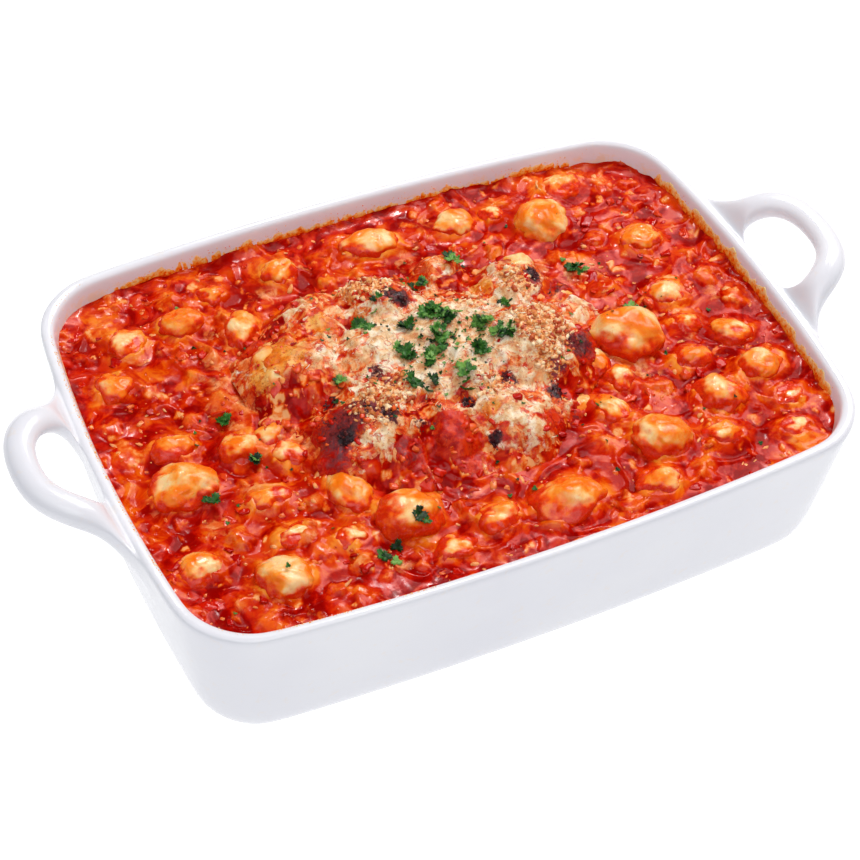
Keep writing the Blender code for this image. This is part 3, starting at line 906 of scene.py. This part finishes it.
def chip_relief(x, y, chips):
    """How high the chips stand at each place, and how light they are (0 where there is none)."""
    height, tint = np.zeros_like(x), np.zeros_like(x)
    bend = 1.5 + 0.15 * max(chip[2] for chip in chips)
    bent_x, bent_y = x + bend * cloud(x, y, 5, 3, 71.0), y + bend * cloud(x, y, 5, 3, 73.0)
    for chip_x, chip_y, long, wide, turn, tall, light in chips:
        near = np.nonzero((abs(bent_x - chip_x) < long) & (abs(bent_y - chip_y) < long))[0]
        dx, dy = bent_x[near] - chip_x, bent_y[near] - chip_y
        along = abs(dx * math.cos(turn) + dy * math.sin(turn)) / long
        across = abs(dy * math.cos(turn) - dx * math.sin(turn)) / wide
        rise = smooth_step(1.3 * (1 - (along**2.6 + across**2.6) ** (1 / 2.6)))
        height[near] = np.maximum(height[near], tall * rise)
        tint[near] = np.maximum(tint[near], light * rise)
    return height, tint


def sauce_level(x, y):
    """The slow swell of the sauce, on which all else stands."""
    return SAUCE_LEVEL + RIPPLE * cloud(x, y, RIPPLE_LENGTH, 1)


class Pool:
    """The sauce between the gnocchi: its surface, and the chips sunk in it."""

    def __init__(self, lies, rng):
        self.lies = lies
        self.chips = make_chips(rng)
        self.mounds = self.hidden_gnocchi(rng)

    def hidden_gnocchi(self, rng):
        """Soft mounds over gnocchi that lie just under the surface, clear of those that show."""
        reach = basin_reach(basin_inset(SAUCE_LEVEL) + MOUND_WALL_GAP, SAUCE_LEVEL)
        mounds = []
        while len(mounds) < MOUND_COUNT:
            x, y = random_place(rng)
            long, turn, height, tint = (rng.uniform(*limits) for limits in MOUND_LIMITS)
            clear = reach_share(x, y, reach) < 1 and heap_share(x, y) > MOUND_HEAP_SHARE
            clear = clear and all(math.hypot(*lie.local(x, y)) > MOUND_GNOCCO_SHARE for lie in self.lies)
            if clear and all(math.hypot(x - mound[0], y - mound[1]) > MOUND_SPACING for mound in mounds):
                mounds.append((x, y, long, long * rng.uniform(0.6, 0.9), turn, height, tint))
        return mounds

    def surface(self, x, y):
        """Height of the sauce, how far it stands up (0 to 1), how oily it is and how light its chips are."""
        lumpy = smooth_step(0.5 + 0.8 * cloud(x, y, 34, 2, 4.0))
        folds = ridges(x, y, 30, 2, 3.0, 6) ** 2
        relief = 1.3 * cloud(x, y, 20, 2, 2.0) + 0.8 * lumpy * pebbles(x, y, 11, 1.0) + folds
        chips, tint = chip_relief(x, y, self.chips)
        film = film_cover(x, y)
        chips *= 1 - 0.75 * film
        mounds, pale = chip_relief(x, y, self.mounds)
        relief += 0.72 * chips * np.clip(1 - 0.6 * mounds, 0, 1) + mounds - 0.55
        tint = np.maximum(tint, pale * np.clip(0.75 + 0.6 * cloud(x, y, 7, 3, 8.0), 0, 1))
        oil = 0.5 * cloud(x, y, 30, 3, 6.0) + spots(x, y, OILY_PATCHES)
        for lie in self.lies:
            near = (abs(x - lie.middle.x) < GNOCCO_SHORE) & (abs(y - lie.middle.y) < GNOCCO_SHORE)
            gap = np.clip(lie.gap(x[near], y[near], SAUCE_LEVEL), -0.4, None)
            wobble = 1 + 0.7 * cloud(x[near], y[near], 6, 2, lie.middle.x)
            # the dip about 5 mm out from each gnocco also lowers the rise, so a darker red ring is painted
            # round it as a painted shadow
            relief[near] += wobble * (1.4 * np.exp(-gap / 2) - 0.3 * np.exp(-((gap - 5) ** 2) / 8))
            away = np.clip(gap, 0, None)
            oil[near] += 0.5 * np.exp(-away / 1.6)
            tint[near] *= 1 - np.exp(-away)
        # the rise (second value) paints the sauce's red darker where it lies low: partly painted shade
        return sauce_level(x, y) - 0.3 + relief, np.clip(0.45 + 0.2 * relief, 0, 1), oil, tint, film


def make_sauce(paint, pool):
    """The pool from its surface down the inside of the basin, a little clear of the wall."""
    reach = basin_reach(basin_inset(SAUCE_LEVEL) - SAUCE_TUCK, SAUCE_LEVEL)
    extent = (RIM_HALF_LENGTH + RIM_BOW - 6, RIM_HALF_WIDTH + RIM_BOW - 6)
    bm, x, y = make_grid((-extent[0], -extent[1]), extent, SAUCE_PITCH)
    share = reach_share(x, y, reach)
    outside = share > 1
    x, y = x / np.maximum(share, 1), y / np.maximum(share, 1)
    z, rise, oil, tint, film = pool.surface(x, y)
    climb = 1.4 + 1.2 * cloud(x, y, 9, 2, 51.0)
    z += climb * np.exp((np.minimum(share, 1) - 1) * 50)
    set_heights(bm, x, y, z, rise=rise, oil=oil, tint=tint, film=film)
    drop_faces(bm, outside)
    reaches = {depth: basin_reach(basin_inset(depth) + SAUCE_GAP, depth) for depth in (60, 40)}
    for degrees in (90, 60, 30, 0):
        inward, up = rounding(BASIN_RADIUS, degrees)
        depth = FLOOR + SAUCE_GAP + up
        reaches[depth] = basin_reach(basin_inset(depth) + SAUCE_GAP + inward, depth)
    close_below(bm, reaches)
    return finish_piece("sauce_pool", bm, paint, ["sauce"])


# ---------------------------------------------------------------- heap


def heap_share(x, y):
    """0 in the middle of the heap and 1 at its uneven outline."""
    along, across = (x - HEAP_CENTRE[0]) / HEAP_RADII[0], (y - HEAP_CENTRE[1]) / HEAP_RADII[1]
    angle = np.arctan2(across, along)
    lobes = 1 + sum(depth * np.sin(count * angle + phase) for count, depth, phase in HEAP_LOBES)
    return np.hypot(along, across) / lobes


def heap_lump(x, y):
    """How high the heap's lumps stand, and 0 between them to 1 on top of one."""
    rise, top = np.zeros_like(x), np.zeros_like(x)
    x, y = x + 3.5 * cloud(x, y, 16, 2, 23.0), y + 3.5 * cloud(x, y, 16, 2, 24.0)
    for lump_x, lump_y, radius, height in HEAP_LUMPS:
        near = np.clip(1 - (np.hypot(x - lump_x, y - lump_y) / radius / LUMP_REACH) ** 2, 0, 1)
        new = LUMP_HEIGHT * height * near**1.1
        rise = np.maximum(rise, new) + 0.3 * np.minimum(rise, new)
        top = np.maximum(top, near)
    return rise, top


def heap_core(x, y):
    """Height and relief of the low dome of sauce and small bits between the heap's gnocchi."""
    share = heap_share(x, y)
    dome = HEAP_EDGE + (HEAP_HEIGHT - 1) * smooth_step(1.3 * (1 - share)) - 1.3
    sinking = 4 * np.clip(share - 0.93, 0, 1) / 0.1
    bits = 1.7 * pebbles(x, y, 7, 21.0) + 0.9 * pebbles(x, y, 4, 27.0)
    relief = 1.6 * cloud(x, y, 11, 3, 22.0) + bits - 0.8
    return sauce_level(x, y) + dome - sinking + heap_lump(x, y)[0] + relief, relief


def heap_lies():
    """Where the heap's gnocchi lie, each standing a little out of the core."""
    found = []
    for x, y, length, width, turn, rise, coat in HEAP_GNOCCHI:
        core, _ = heap_core(np.array([x], float), np.array([y], float))
        middle = (x, y, float(core[0]) + rise - width * GNOCCO_FLATNESS / 2)
        found.append(Gnocco(middle, length, width, math.radians(turn), coat))
    return found


def make_heap(sauce_paint, dough_paint, lies, rng):
    """The core, and as one piece the gnocchi that come out of it."""
    low, high = box_mm("gnocchi_heap")
    bm, x, y = make_grid(low, high, HEAP_PITCH)
    z, relief = heap_core(x, y)
    oil = 0.1 + 0.5 * cloud(x, y, 18, 3, 26.0)
    tint = 0.9 * smooth_step(2.6 * cloud(x, y, 7, 3, 28.0))
    # the rise paints the core's low places a darker red: partly painted shade
    rise = np.clip(0.35 + 0.3 * relief, 0, 1)
    set_heights(bm, x, y, z, rise=rise, oil=oil, tint=tint, film=film_cover(x, y))
    drop_faces(bm, heap_share(x, y) > 0.99)
    close_below(bm, {HEAP_FOOT: None})
    finish_piece("heap_core", bm, sauce_paint, ["gnocchi_heap"])
    bm = bmesh.new()
    for lie in lies:
        add_gnocco(bm, lie, lie.middle.z + 0.35 * lie.half.z, rng)
    finish_piece("heap_gnocchi", bm, dough_paint)


def draped(x, y, lies):
    """The heap's top with its gnocchi, softened where one thing meets the next."""
    height = heap_core(x, y)[0]
    for lie in lies:
        height = HEAP_BLEND * np.logaddexp(height / HEAP_BLEND, lie.top(x, y) / HEAP_BLEND)
    return height


def cheese_cover(x, y):
    """How thickly cheese covers a place: above 0 it shows, and 1 is thick."""
    share = heap_share(x, y)
    # the lump term gives thinner cheese, and so redder sauce, between the lumps: partly the sauce lying there,
    # partly painted shade in the crevices
    cover = 0.68 - 1.05 * share**2 + 0.3 * (heap_lump(x, y)[1] - 0.35) + spots(x, y, CHEESE_PATCHES)
    cover -= 0.7 * wet_places(x, y)
    strands = ridges(x, y, 15, 2, 33.0, 9) * (share < 1.02)
    return cover + 0.55 * cloud(x, y, 13, 4, 31.0) + 0.35 * cloud(x, y, 4.5, 3, 35.0) + 0.5 * strands


def cheese_surface(x, y, lies):
    """Height of the cheese's top and how thickly it covers, with crusty brown and smooth wet places."""
    cover = cheese_cover(x, y)
    brown = spotted(x, y, BROWN_PATCHES)
    rough = 0.5 * cloud(x, y, 2.4, 4, 41.0) * (0.6 + brown) + 0.8 * brown * pebbles(x, y, 2.4, 43.0)
    rough = (rough + 0.8 * cloud(x, y, 7, 3, 44.0)) * np.clip(1.5 * cover + 0.3, 0, 1)
    rough *= 1 - 0.6 * spotted(x, y, ORANGE_PATCHES)
    thickness = CHEESE_THICKNESS * np.clip(cover, -1.2, 1.1) + rough
    wet = wet_places(x, y)
    streaks = 0.8 * cloud(x, y, 5, 3, 46.0)
    thickness = np.where(wet > 0.25, np.maximum(thickness, (0.9 + streaks) * wet), thickness)
    return draped(x, y, lies) + thickness - 0.2, cover


def make_cheese(paint, lies):
    """A sheet over the heap, with holes where there is no cheese, thickened downwards."""
    low, high = box_mm("melted_cheese")
    margin = Vector((CHEESE_MARGIN, CHEESE_MARGIN, 0))
    bm, x, y = make_grid(low - margin, high + margin, HEAP_PITCH)
    z, cover = cheese_surface(x, y, lies)
    wet, orange = wet_places(x, y), spotted(x, y, ORANGE_PATCHES)
    brown, char = spotted(x, y, BROWN_PATCHES), spotted(x, y, CHAR_PATCHES)
    purple = spotted(x, y, WET_PATCHES)
    set_heights(bm, x, y, z, cover=cover, brown=brown, char=char, wet=wet, purple=purple, orange=orange)
    drop_faces(bm, (cover < CHEESE_END) & (wet < WET_END))
    made = finish_piece("cheese_topping", bm, paint, ["melted_cheese"])
    modifier = made.modifiers.new("thickness", "SOLIDIFY")
    modifier.thickness = CHEESE_SKIN * MM
    modifier.offset = -1
    return made


# ---------------------------------------------------------------- scattered bits


def ball(detail):
    bm = bmesh.new()
    bmesh.ops.create_icosphere(bm, subdivisions=detail, radius=1)
    return bm


def chunk_shapes(rng, count, detail, squareness, roughness):
    """Uneven little blocks about 1 mm in half size."""
    shapes = []
    for _ in range(count):
        bm, seed = ball(detail), noise_seed(rng)
        for vert in bm.verts:
            way = vert.co.copy()
            squared = Vector([math.copysign(abs(c) ** squareness, c) for c in way])
            vert.co = squared * (1 + roughness * noise.fractal(way * 1.5 + seed, 1.0, 2.0, 3)) * 0.8
        shapes.append(make_mesh("chunk", bm))
    return shapes


def crescent_shapes(rng, count, detail, bend):
    """Curved slips, such as cooked onion: long along X and bowed."""
    shapes = []
    for _ in range(count):
        bm, bow, seed = ball(detail), rng.uniform(0.3, 1.4) * bend, noise_seed(rng)
        for vert in bm.verts:
            x, y, z = vert.co
            wavy = 0.15 * noise.noise(vert.co * 1.7 + seed)
            vert.co = (x, 0.42 * y + bow * x * x - 0.5 * bow + wavy, 0.34 * z + 0.25 * bow * x * x + wavy)
        shapes.append(make_mesh("crescent", bm))
    return shapes


def leaf_shapes(rng, count):
    """Parsley leaflets: three toothed lobes, thin, folded and crumpled, about 1 mm in half size."""
    shapes = []
    for _ in range(count):
        bm = bmesh.new()
        bmesh.ops.create_circle(bm, cap_ends=True, cap_tris=True, segments=30, radius=1)
        bmesh.ops.subdivide_edges(bm, edges=bm.edges[:], cuts=1, use_grid_fill=True)
        phase, curl = rng.uniform(0, math.tau), rng.uniform(-0.3, 0.7)
        seed = noise_seed(rng)
        for vert in bm.verts:
            angle, far = math.atan2(vert.co.y, vert.co.x), vert.co.xy.length
            lobe = abs(math.cos(1.5 * angle)) ** 0.7
            reach = (0.42 + 0.58 * lobe) * (1 + 0.14 * math.sin(15 * angle + phase))
            x, y = far * reach * math.cos(angle), far * reach * math.sin(angle)
            crumple = 0.3 * noise.noise(Vector((x, y, 0)) * 2.2 + seed)
            vert.co = (x, y, curl * far * far * 0.6 + 0.22 * far * lobe + crumple)
        bmesh.ops.solidify(bm, geom=bm.faces[:], thickness=0.07)
        bmesh.ops.recalc_face_normals(bm, faces=bm.faces)
        shapes.append(make_mesh("leaf", bm))
    return shapes


def scatter(name, shapes, places, material):
    """Joined copies of the shapes. A place is its middle, its size, its turn about Z, tilt and shade."""
    bm = bmesh.new()
    layer = bm.verts.layers.float.new("shade")
    for number, (middle, size, turn, tilt, shade) in enumerate(places):
        start = len(bm.verts)
        bm.from_mesh(shapes[number % len(shapes)])
        bm.verts.ensure_lookup_table()
        added = bm.verts[start:]
        tilted = Matrix.Rotation(tilt, 4, "X") @ Matrix.Rotation(0.7 * tilt, 4, "Y")
        turned = Matrix.Rotation(turn, 4, "Z") @ tilted @ Matrix.Diagonal((*size, 1))
        bmesh.ops.transform(bm, matrix=Matrix.Translation(middle) @ turned, verts=added)
        for vert in added:
            vert[layer] = shade
    return finish_piece(name, bm, material)


def find_places(rng, count, middle, half, is_free, chance_at):
    """Random free places up to half from the middle each way, each kept with the chance that it has there."""
    found = np.empty((2, 0))
    while found.shape[1] < count:
        x = middle[0] + np.array([rng.uniform(-half[0], half[0]) for _ in range(count)])
        y = middle[1] + np.array([rng.uniform(-half[1], half[1]) for _ in range(count)])
        luck = np.array([rng.random() for _ in range(count)])
        good = is_free(x, y) & (luck < chance_at(x, y))
        found = np.hstack((found, (x[good], y[good])))
    return found[:, :count]


def lay_bits(rng, found, z, sizes, ways, sink, lean):
    """A place for each bit: large ones are rare, and ways are their ranges along x, y and z."""
    small, large = sizes
    places = []
    for place_x, place_y, place_z in zip(*found, z):
        half = small + (large - small) * rng.random() ** 2
        size = [half * (rng.uniform(*way) if way else 1) for way in ways]
        middle = (place_x, place_y, place_z - sink * size[2])
        places.append((middle, size, rng.uniform(0, math.tau), rng.gauss(0, lean), rng.random()))
    return places


def make_sauce_bits(pool, rng):
    """Diced tomato, slips of onion, seeds and small lumps that show in the sauce."""
    kinds = (  # name, shapes, count, half sizes, flatness, share sunk in the sauce, material and its looks
        ("tomato_dice", chunk_shapes(rng, 9, 3, 0.65, 0.45), 130, (1.6, 4.2), 0.5, 0.5,
         "tomato_flesh", ((180, 6, 0), (204, 22, 0), (220, 66, 20), 0.14, 0.0)),
        ("onion_slips", crescent_shapes(rng, 9, 2, 0.5), 300, (1.6, 4.0), 0.7, 0.75,
         "cooked_onion", ((214, 70, 18), (230, 116, 48), (244, 176, 116), 0.18, 0.1)),
        ("small_lumps", chunk_shapes(rng, 6, 2, 0.8, 0.45), 330, (0.8, 2.6), 0.6, 0.6,
         "broken_dough", ((208, 56, 10), (226, 100, 34), (242, 160, 94), 0.2, 0.1)),
        ("seeds", chunk_shapes(rng, 3, 1, 1.0, 0.05), 70, (0.4, 0.85), 0.45, 0.3,
         "tomato_seed", ((214, 84, 16), (230, 136, 50), (242, 184, 110), 0.25, 0.0)),
    )
    reach = basin_reach(basin_inset(SAUCE_LEVEL) + BITS_WALL_GAP, SAUCE_LEVEL)

    def is_sauce(x, y):
        free = (reach_share(x, y, reach) < 1) & (heap_share(x, y) > 0.97)
        for lie in pool.lies:
            free &= np.hypot(*lie.local(x, y)) > 0.93
        return free

    def in_drifts(x, y):
        return np.clip(0.35 + 0.9 * cloud(x, y, 24, 3, 51.0), 0.08, 1)

    for name, shapes, count, sizes, flatness, sink, stuff, looks in kinds:
        x, y = find_places(rng, count, (0, 0), (RIM_HALF_LENGTH, RIM_HALF_WIDTH), is_sauce, in_drifts)
        ways = ((0.8, 1.5), (0.6, 1.0), (0.6 * flatness, flatness))
        places = lay_bits(rng, (x, y), pool.surface(x, y)[0], sizes, ways, sink, 0.3)
        scatter(name, shapes, places, make_bit_paint(stuff, *looks))


def make_heap_bits(heap, rng):
    """Grated cheese, golden crumbs, black crumbs and bits of tomato on the heap."""

    def is_heap(x, y):
        return heap_share(x, y) < 0.97

    def on_middle(x, y):
        return np.clip(spots(x, y, ((0, 10, 44),)) + 0.15, 0, 1) * (cheese_cover(x, y) > 0.2)

    def on_brown(x, y):
        return spotted(x, y, BROWN_PATCHES)

    def on_char(x, y):
        return spotted(x, y, CHAR_PATCHES) ** 2

    def on_bare(x, y):
        return np.clip(0.7 - cheese_cover(x, y), 0.05, 1)

    kinds = (  # name, shapes, count, half sizes, width and height to length, where, material and its looks
        ("grated_shreds", crescent_shapes(rng, 6, 1, 0.3), 1100, (0.5, 2.3), (0.35, 0.3), on_middle,
         "grated_cheese", ((206, 146, 92), (244, 220, 180), (255, 250, 234), 0.45, 0.1)),
        ("golden_crumbs", chunk_shapes(rng, 6, 1, 0.7, 0.5), 1050, (0.4, 2.5), (0.7, 0.5), on_brown,
         "golden_crumb", ((180, 60, 20), (238, 154, 78), (253, 228, 184), 0.4, 0.05)),
        ("charred_crumbs", chunk_shapes(rng, 6, 1, 0.7, 0.5), 200, (0.4, 1.7), (0.7, 0.4), on_char,
         "charred_crumb", ((26, 8, 12), (62, 20, 24), (120, 44, 36), 0.4, 0.0)),
        ("tomato_on_heap", chunk_shapes(rng, 7, 2, 0.65, 0.5), 150, (1.0, 3.6), (0.7, 0.4), on_bare,
         "tomato_on_top", ((184, 8, 0), (210, 30, 2), (232, 96, 36), 0.16, 0.0)),
    )
    for name, shapes, count, sizes, slimness, chance_at, stuff, looks in kinds:
        x, y = find_places(rng, count, HEAP_CENTRE, (95, 72), is_heap, chance_at)
        z = np.maximum(cheese_surface(x, y, heap)[0], draped(x, y, heap))
        ways = (None, *((0.7 * slim, 1.1 * slim) for slim in slimness))
        places = lay_bits(rng, (x, y), z, sizes, ways, 0.15, 0.35)
        scatter(name, shapes, places, make_bit_paint(stuff, *looks))


def make_parsley(pool, heap, rng):
    """Leaflets in loose clusters, and flakes of them all over."""
    flakes = []
    for middle_x, middle_y, count, spread in PARSLEY_CLUSTERS:
        for _ in range(count):
            x, y = middle_x + rng.gauss(0, spread * 0.55), middle_y + rng.gauss(0, spread * 0.55)
            flakes.append((x, y, rng.uniform(1.9, 3.9), rng.random(), 1.0))
    for count, middle, spread, sizes in LOOSE_FLAKES:
        for _ in range(count):
            x, y = middle[0] + rng.gauss(0, spread[0]), middle[1] + rng.gauss(0, spread[1])
            flakes.append((x, y, rng.uniform(*sizes), rng.random(), 0.1))
    for _ in range(FLAKES_ALL_OVER):
        x, y = rng.uniform(-FLAKES_REACH[0], FLAKES_REACH[0]), rng.uniform(-FLAKES_REACH[1], FLAKES_REACH[1])
        flakes.append((x, y, rng.uniform(0.5, 1.4), 0.8 * rng.random(), 0.1))
    x, y = np.array([flake[:2] for flake in flakes]).T
    z = pool.surface(x, y)[0]
    for lie in pool.lies:
        z = np.maximum(z, lie.top(x, y))
    heaped = np.maximum(cheese_surface(x, y, heap)[0], draped(x, y, heap))
    z = np.where(heap_share(x, y) < 1, np.maximum(z, heaped), z)
    places = []
    for (flake_x, flake_y, half, shade, loft), height in zip(flakes, z):
        lift = loft * 1.6 * rng.random()
        tilt = rng.gauss(0, 0.5)
        size = (half, half * rng.uniform(0.8, 1.1), half)
        places.append(((flake_x, flake_y, height + lift + 0.2), size, rng.uniform(0, math.tau), tilt, shade))
    return scatter("parsley", leaf_shapes(rng, 9), places, make_leaf_paint())


# ---------------------------------------------------------------- sauce dried on the wall


def make_band():
    """Sauce baked on to the wall above the pool: a thin closed band with a ragged top."""
    points = np.array(outline(0, SAUCE_LEVEL, 34, np.linspace(-118, 118, 290), np.linspace(-78, 78, 190)))
    x, y = points[:, 0], points[:, 1]
    angles = np.array([math.atan2(b, a) for a, b in zip(x, y)])
    tall = 3.6 + 2.2 * cloud(x, y, 22, 3, 61.0) + 2.6 * cloud(x, y, 5.5, 4, 63.0)
    tall += np.where(x > BAND_RIGHT_X, BAND_EXTRA_AT_RIGHT, 0)
    in_front = np.clip(tall * 0.5, *BAND_HEIGHTS_IN_FRONT)
    tall = np.where(y < BAND_FRONT_Y, in_front, np.clip(tall, *BAND_HEIGHTS))
    thick = np.maximum(0.06, 0.22 + 0.14 * cloud(x, y, 2.5, 3, 65.0))
    bm = bmesh.new()
    layer = bm.verts.layers.float.new("shade")
    rings = []
    for share, out in BAND_SECTION:
        heights = SAUCE_LEVEL - BAND_DIP + share * (tall + BAND_DIP)
        ring = []
        for height, angle, depth in zip(heights, angles, thick):
            ring.append(wall_place(angle, height, basin_reach_at(round(height * 4)), out * depth))
        rings.append(ring_of(bm, ring))
        for edge in rings[-1]:
            edge.verts[0][layer] = edge.verts[1][layer] = share
    bridge_rings(bm, rings + rings[:1])
    bmesh.ops.recalc_face_normals(bm, faces=bm.faces)
    return finish_piece("baked_rim", bm, make_band_paint())


def speck(rng, middle, sizes, shades):
    """A round bit's place for scatter."""
    half = rng.uniform(*sizes)
    return middle, (half, half, half), rng.uniform(0, math.tau), 0, rng.uniform(*shades)


def make_wall_specks(rng):
    """Dried specks of sauce on the wall above the band, and on the lip's inner rounding at the left."""
    specks = []
    for _ in range(WALL_SPECKS):
        angle = rng.uniform(-0.9, 2.9)
        height = SAUCE_LEVEL + 2.4 + abs(rng.gauss(0, 1.6))
        reach = basin_reach_at(round(4 * min(height, 75)))
        specks.append(speck(rng, wall_place(angle, height, reach), (0.12, 0.42), (0, 1)))
    lip = []
    for degrees in LIP_SPECK_BENDS:
        bend = math.radians(degrees)
        height = DISH_HEIGHT - WALL / 2 * (1 - math.sin(bend))
        lip.append((height, basin_reach(WALL / 2 * (1 - math.cos(bend)), height)))
    for _ in range(LIP_SPECKS):
        angle = rng.uniform(2.3, 4.3)
        height, reach = rng.choice(lip)
        if noise.fractal((angle * 18, height * 0.3, 5.0), 1.0, 2.0, 3) > -0.06:
            specks.append(speck(rng, wall_place(angle, height, reach), (0.14, 0.4), (0.45, 0.95)))
    paint = make_bit_paint("dried_specks", (236, 100, 10), (250, 160, 50), (255, 206, 120), 0.4, 0.0)
    return scatter("wall_specks", chunk_shapes(rng, 3, 1, 1.0, 0.2), specks, paint)


# ---------------------------------------------------------------- floor, lights and camera


def make_floor():
    """A pale floor that glows, so that shadows on it stay faint and it lights the dish from below."""
    bm = bmesh.new()
    bmesh.ops.create_grid(bm, x_segments=1, y_segments=1, size=3)
    bmesh.ops.translate(bm, vec=(0, 0, -FLOOR_DROP * MM), verts=bm.verts)
    floor = bpy.data.objects.new("floor", make_mesh("floor", bm))
    bpy.context.scene.collection.objects.link(floor)
    glow = {"Emission_Color": (0.98, 0.985, 1, 1), "Emission_Strength": 0.84}
    paint = Paint("pale_floor", Roughness=0.8, Base_Color=(0.3, 0.3, 0.3, 1), **glow)
    floor.data.materials.append(paint.material)


def make_lights():
    """Square soft lights over the table, in a room that the glaze and the sauce don't mirror."""
    world = bpy.data.worlds.new("soft_room")
    world.use_nodes = True
    world.node_tree.nodes["Background"].inputs["Color"].default_value = ROOM_COLOUR
    world.node_tree.nodes["Background"].inputs["Strength"].default_value = ROOM_BRIGHTNESS
    world.cycles_visibility.glossy = False
    bpy.context.scene.world = world
    for name, place, size, power, colour in LIGHTS:
        data = bpy.data.lights.new(name, "AREA")
        data.size = size
        data.energy = power
        data.color = colour
        light = bpy.data.objects.new(name, data)
        light.location = place
        light.rotation_euler = (-Vector(place)).to_track_quat("-Z", "Y").to_euler()
        bpy.context.scene.collection.objects.link(light)


def make_camera():
    azimuth, elevation = math.radians(CAMERA_AZIMUTH), math.radians(CAMERA_ELEVATION)
    flat = math.cos(elevation)
    back = Vector((math.sin(azimuth) * flat, -math.cos(azimuth) * flat, math.sin(elevation)))
    right = (-back).cross(Vector((0, 0, 1))).normalized()
    up = right.cross(-back)
    roll = Matrix.Rotation(math.radians(CAMERA_ROLL), 3, back)
    data = bpy.data.cameras.new("camera")
    data.lens = CAMERA_LENS
    data.sensor_width = 36
    data.clip_start, data.clip_end = 0.05, 20
    camera = bpy.data.objects.new("camera", data)
    place = (Vector(CAMERA_TARGET) + back * CAMERA_DISTANCE) * MM
    turned = Matrix((roll @ right, roll @ up, back)).transposed().to_4x4()
    camera.matrix_world = Matrix.Translation(place) @ turned
    bpy.context.scene.collection.objects.link(camera)
    bpy.context.scene.camera = camera


def main():
    rng = random.Random(11)
    make_camera()
    make_lights()
    make_floor()
    make_dish()
    sauce_paint, dough_paint = make_sauce_paint(), make_dough_paint()
    pool = Pool(make_gnocchi(dough_paint, rng), rng)
    make_sauce(sauce_paint, pool)
    heap = heap_lies()
    make_heap(sauce_paint, dough_paint, heap, rng)
    make_cheese(make_cheese_paint(), heap)
    make_sauce_bits(pool, rng)
    make_heap_bits(heap, rng)
    make_parsley(pool, heap, rng)
    make_band()
    make_wall_specks(rng)
    bpy.context.scene.view_settings.view_transform = "Standard"


main()
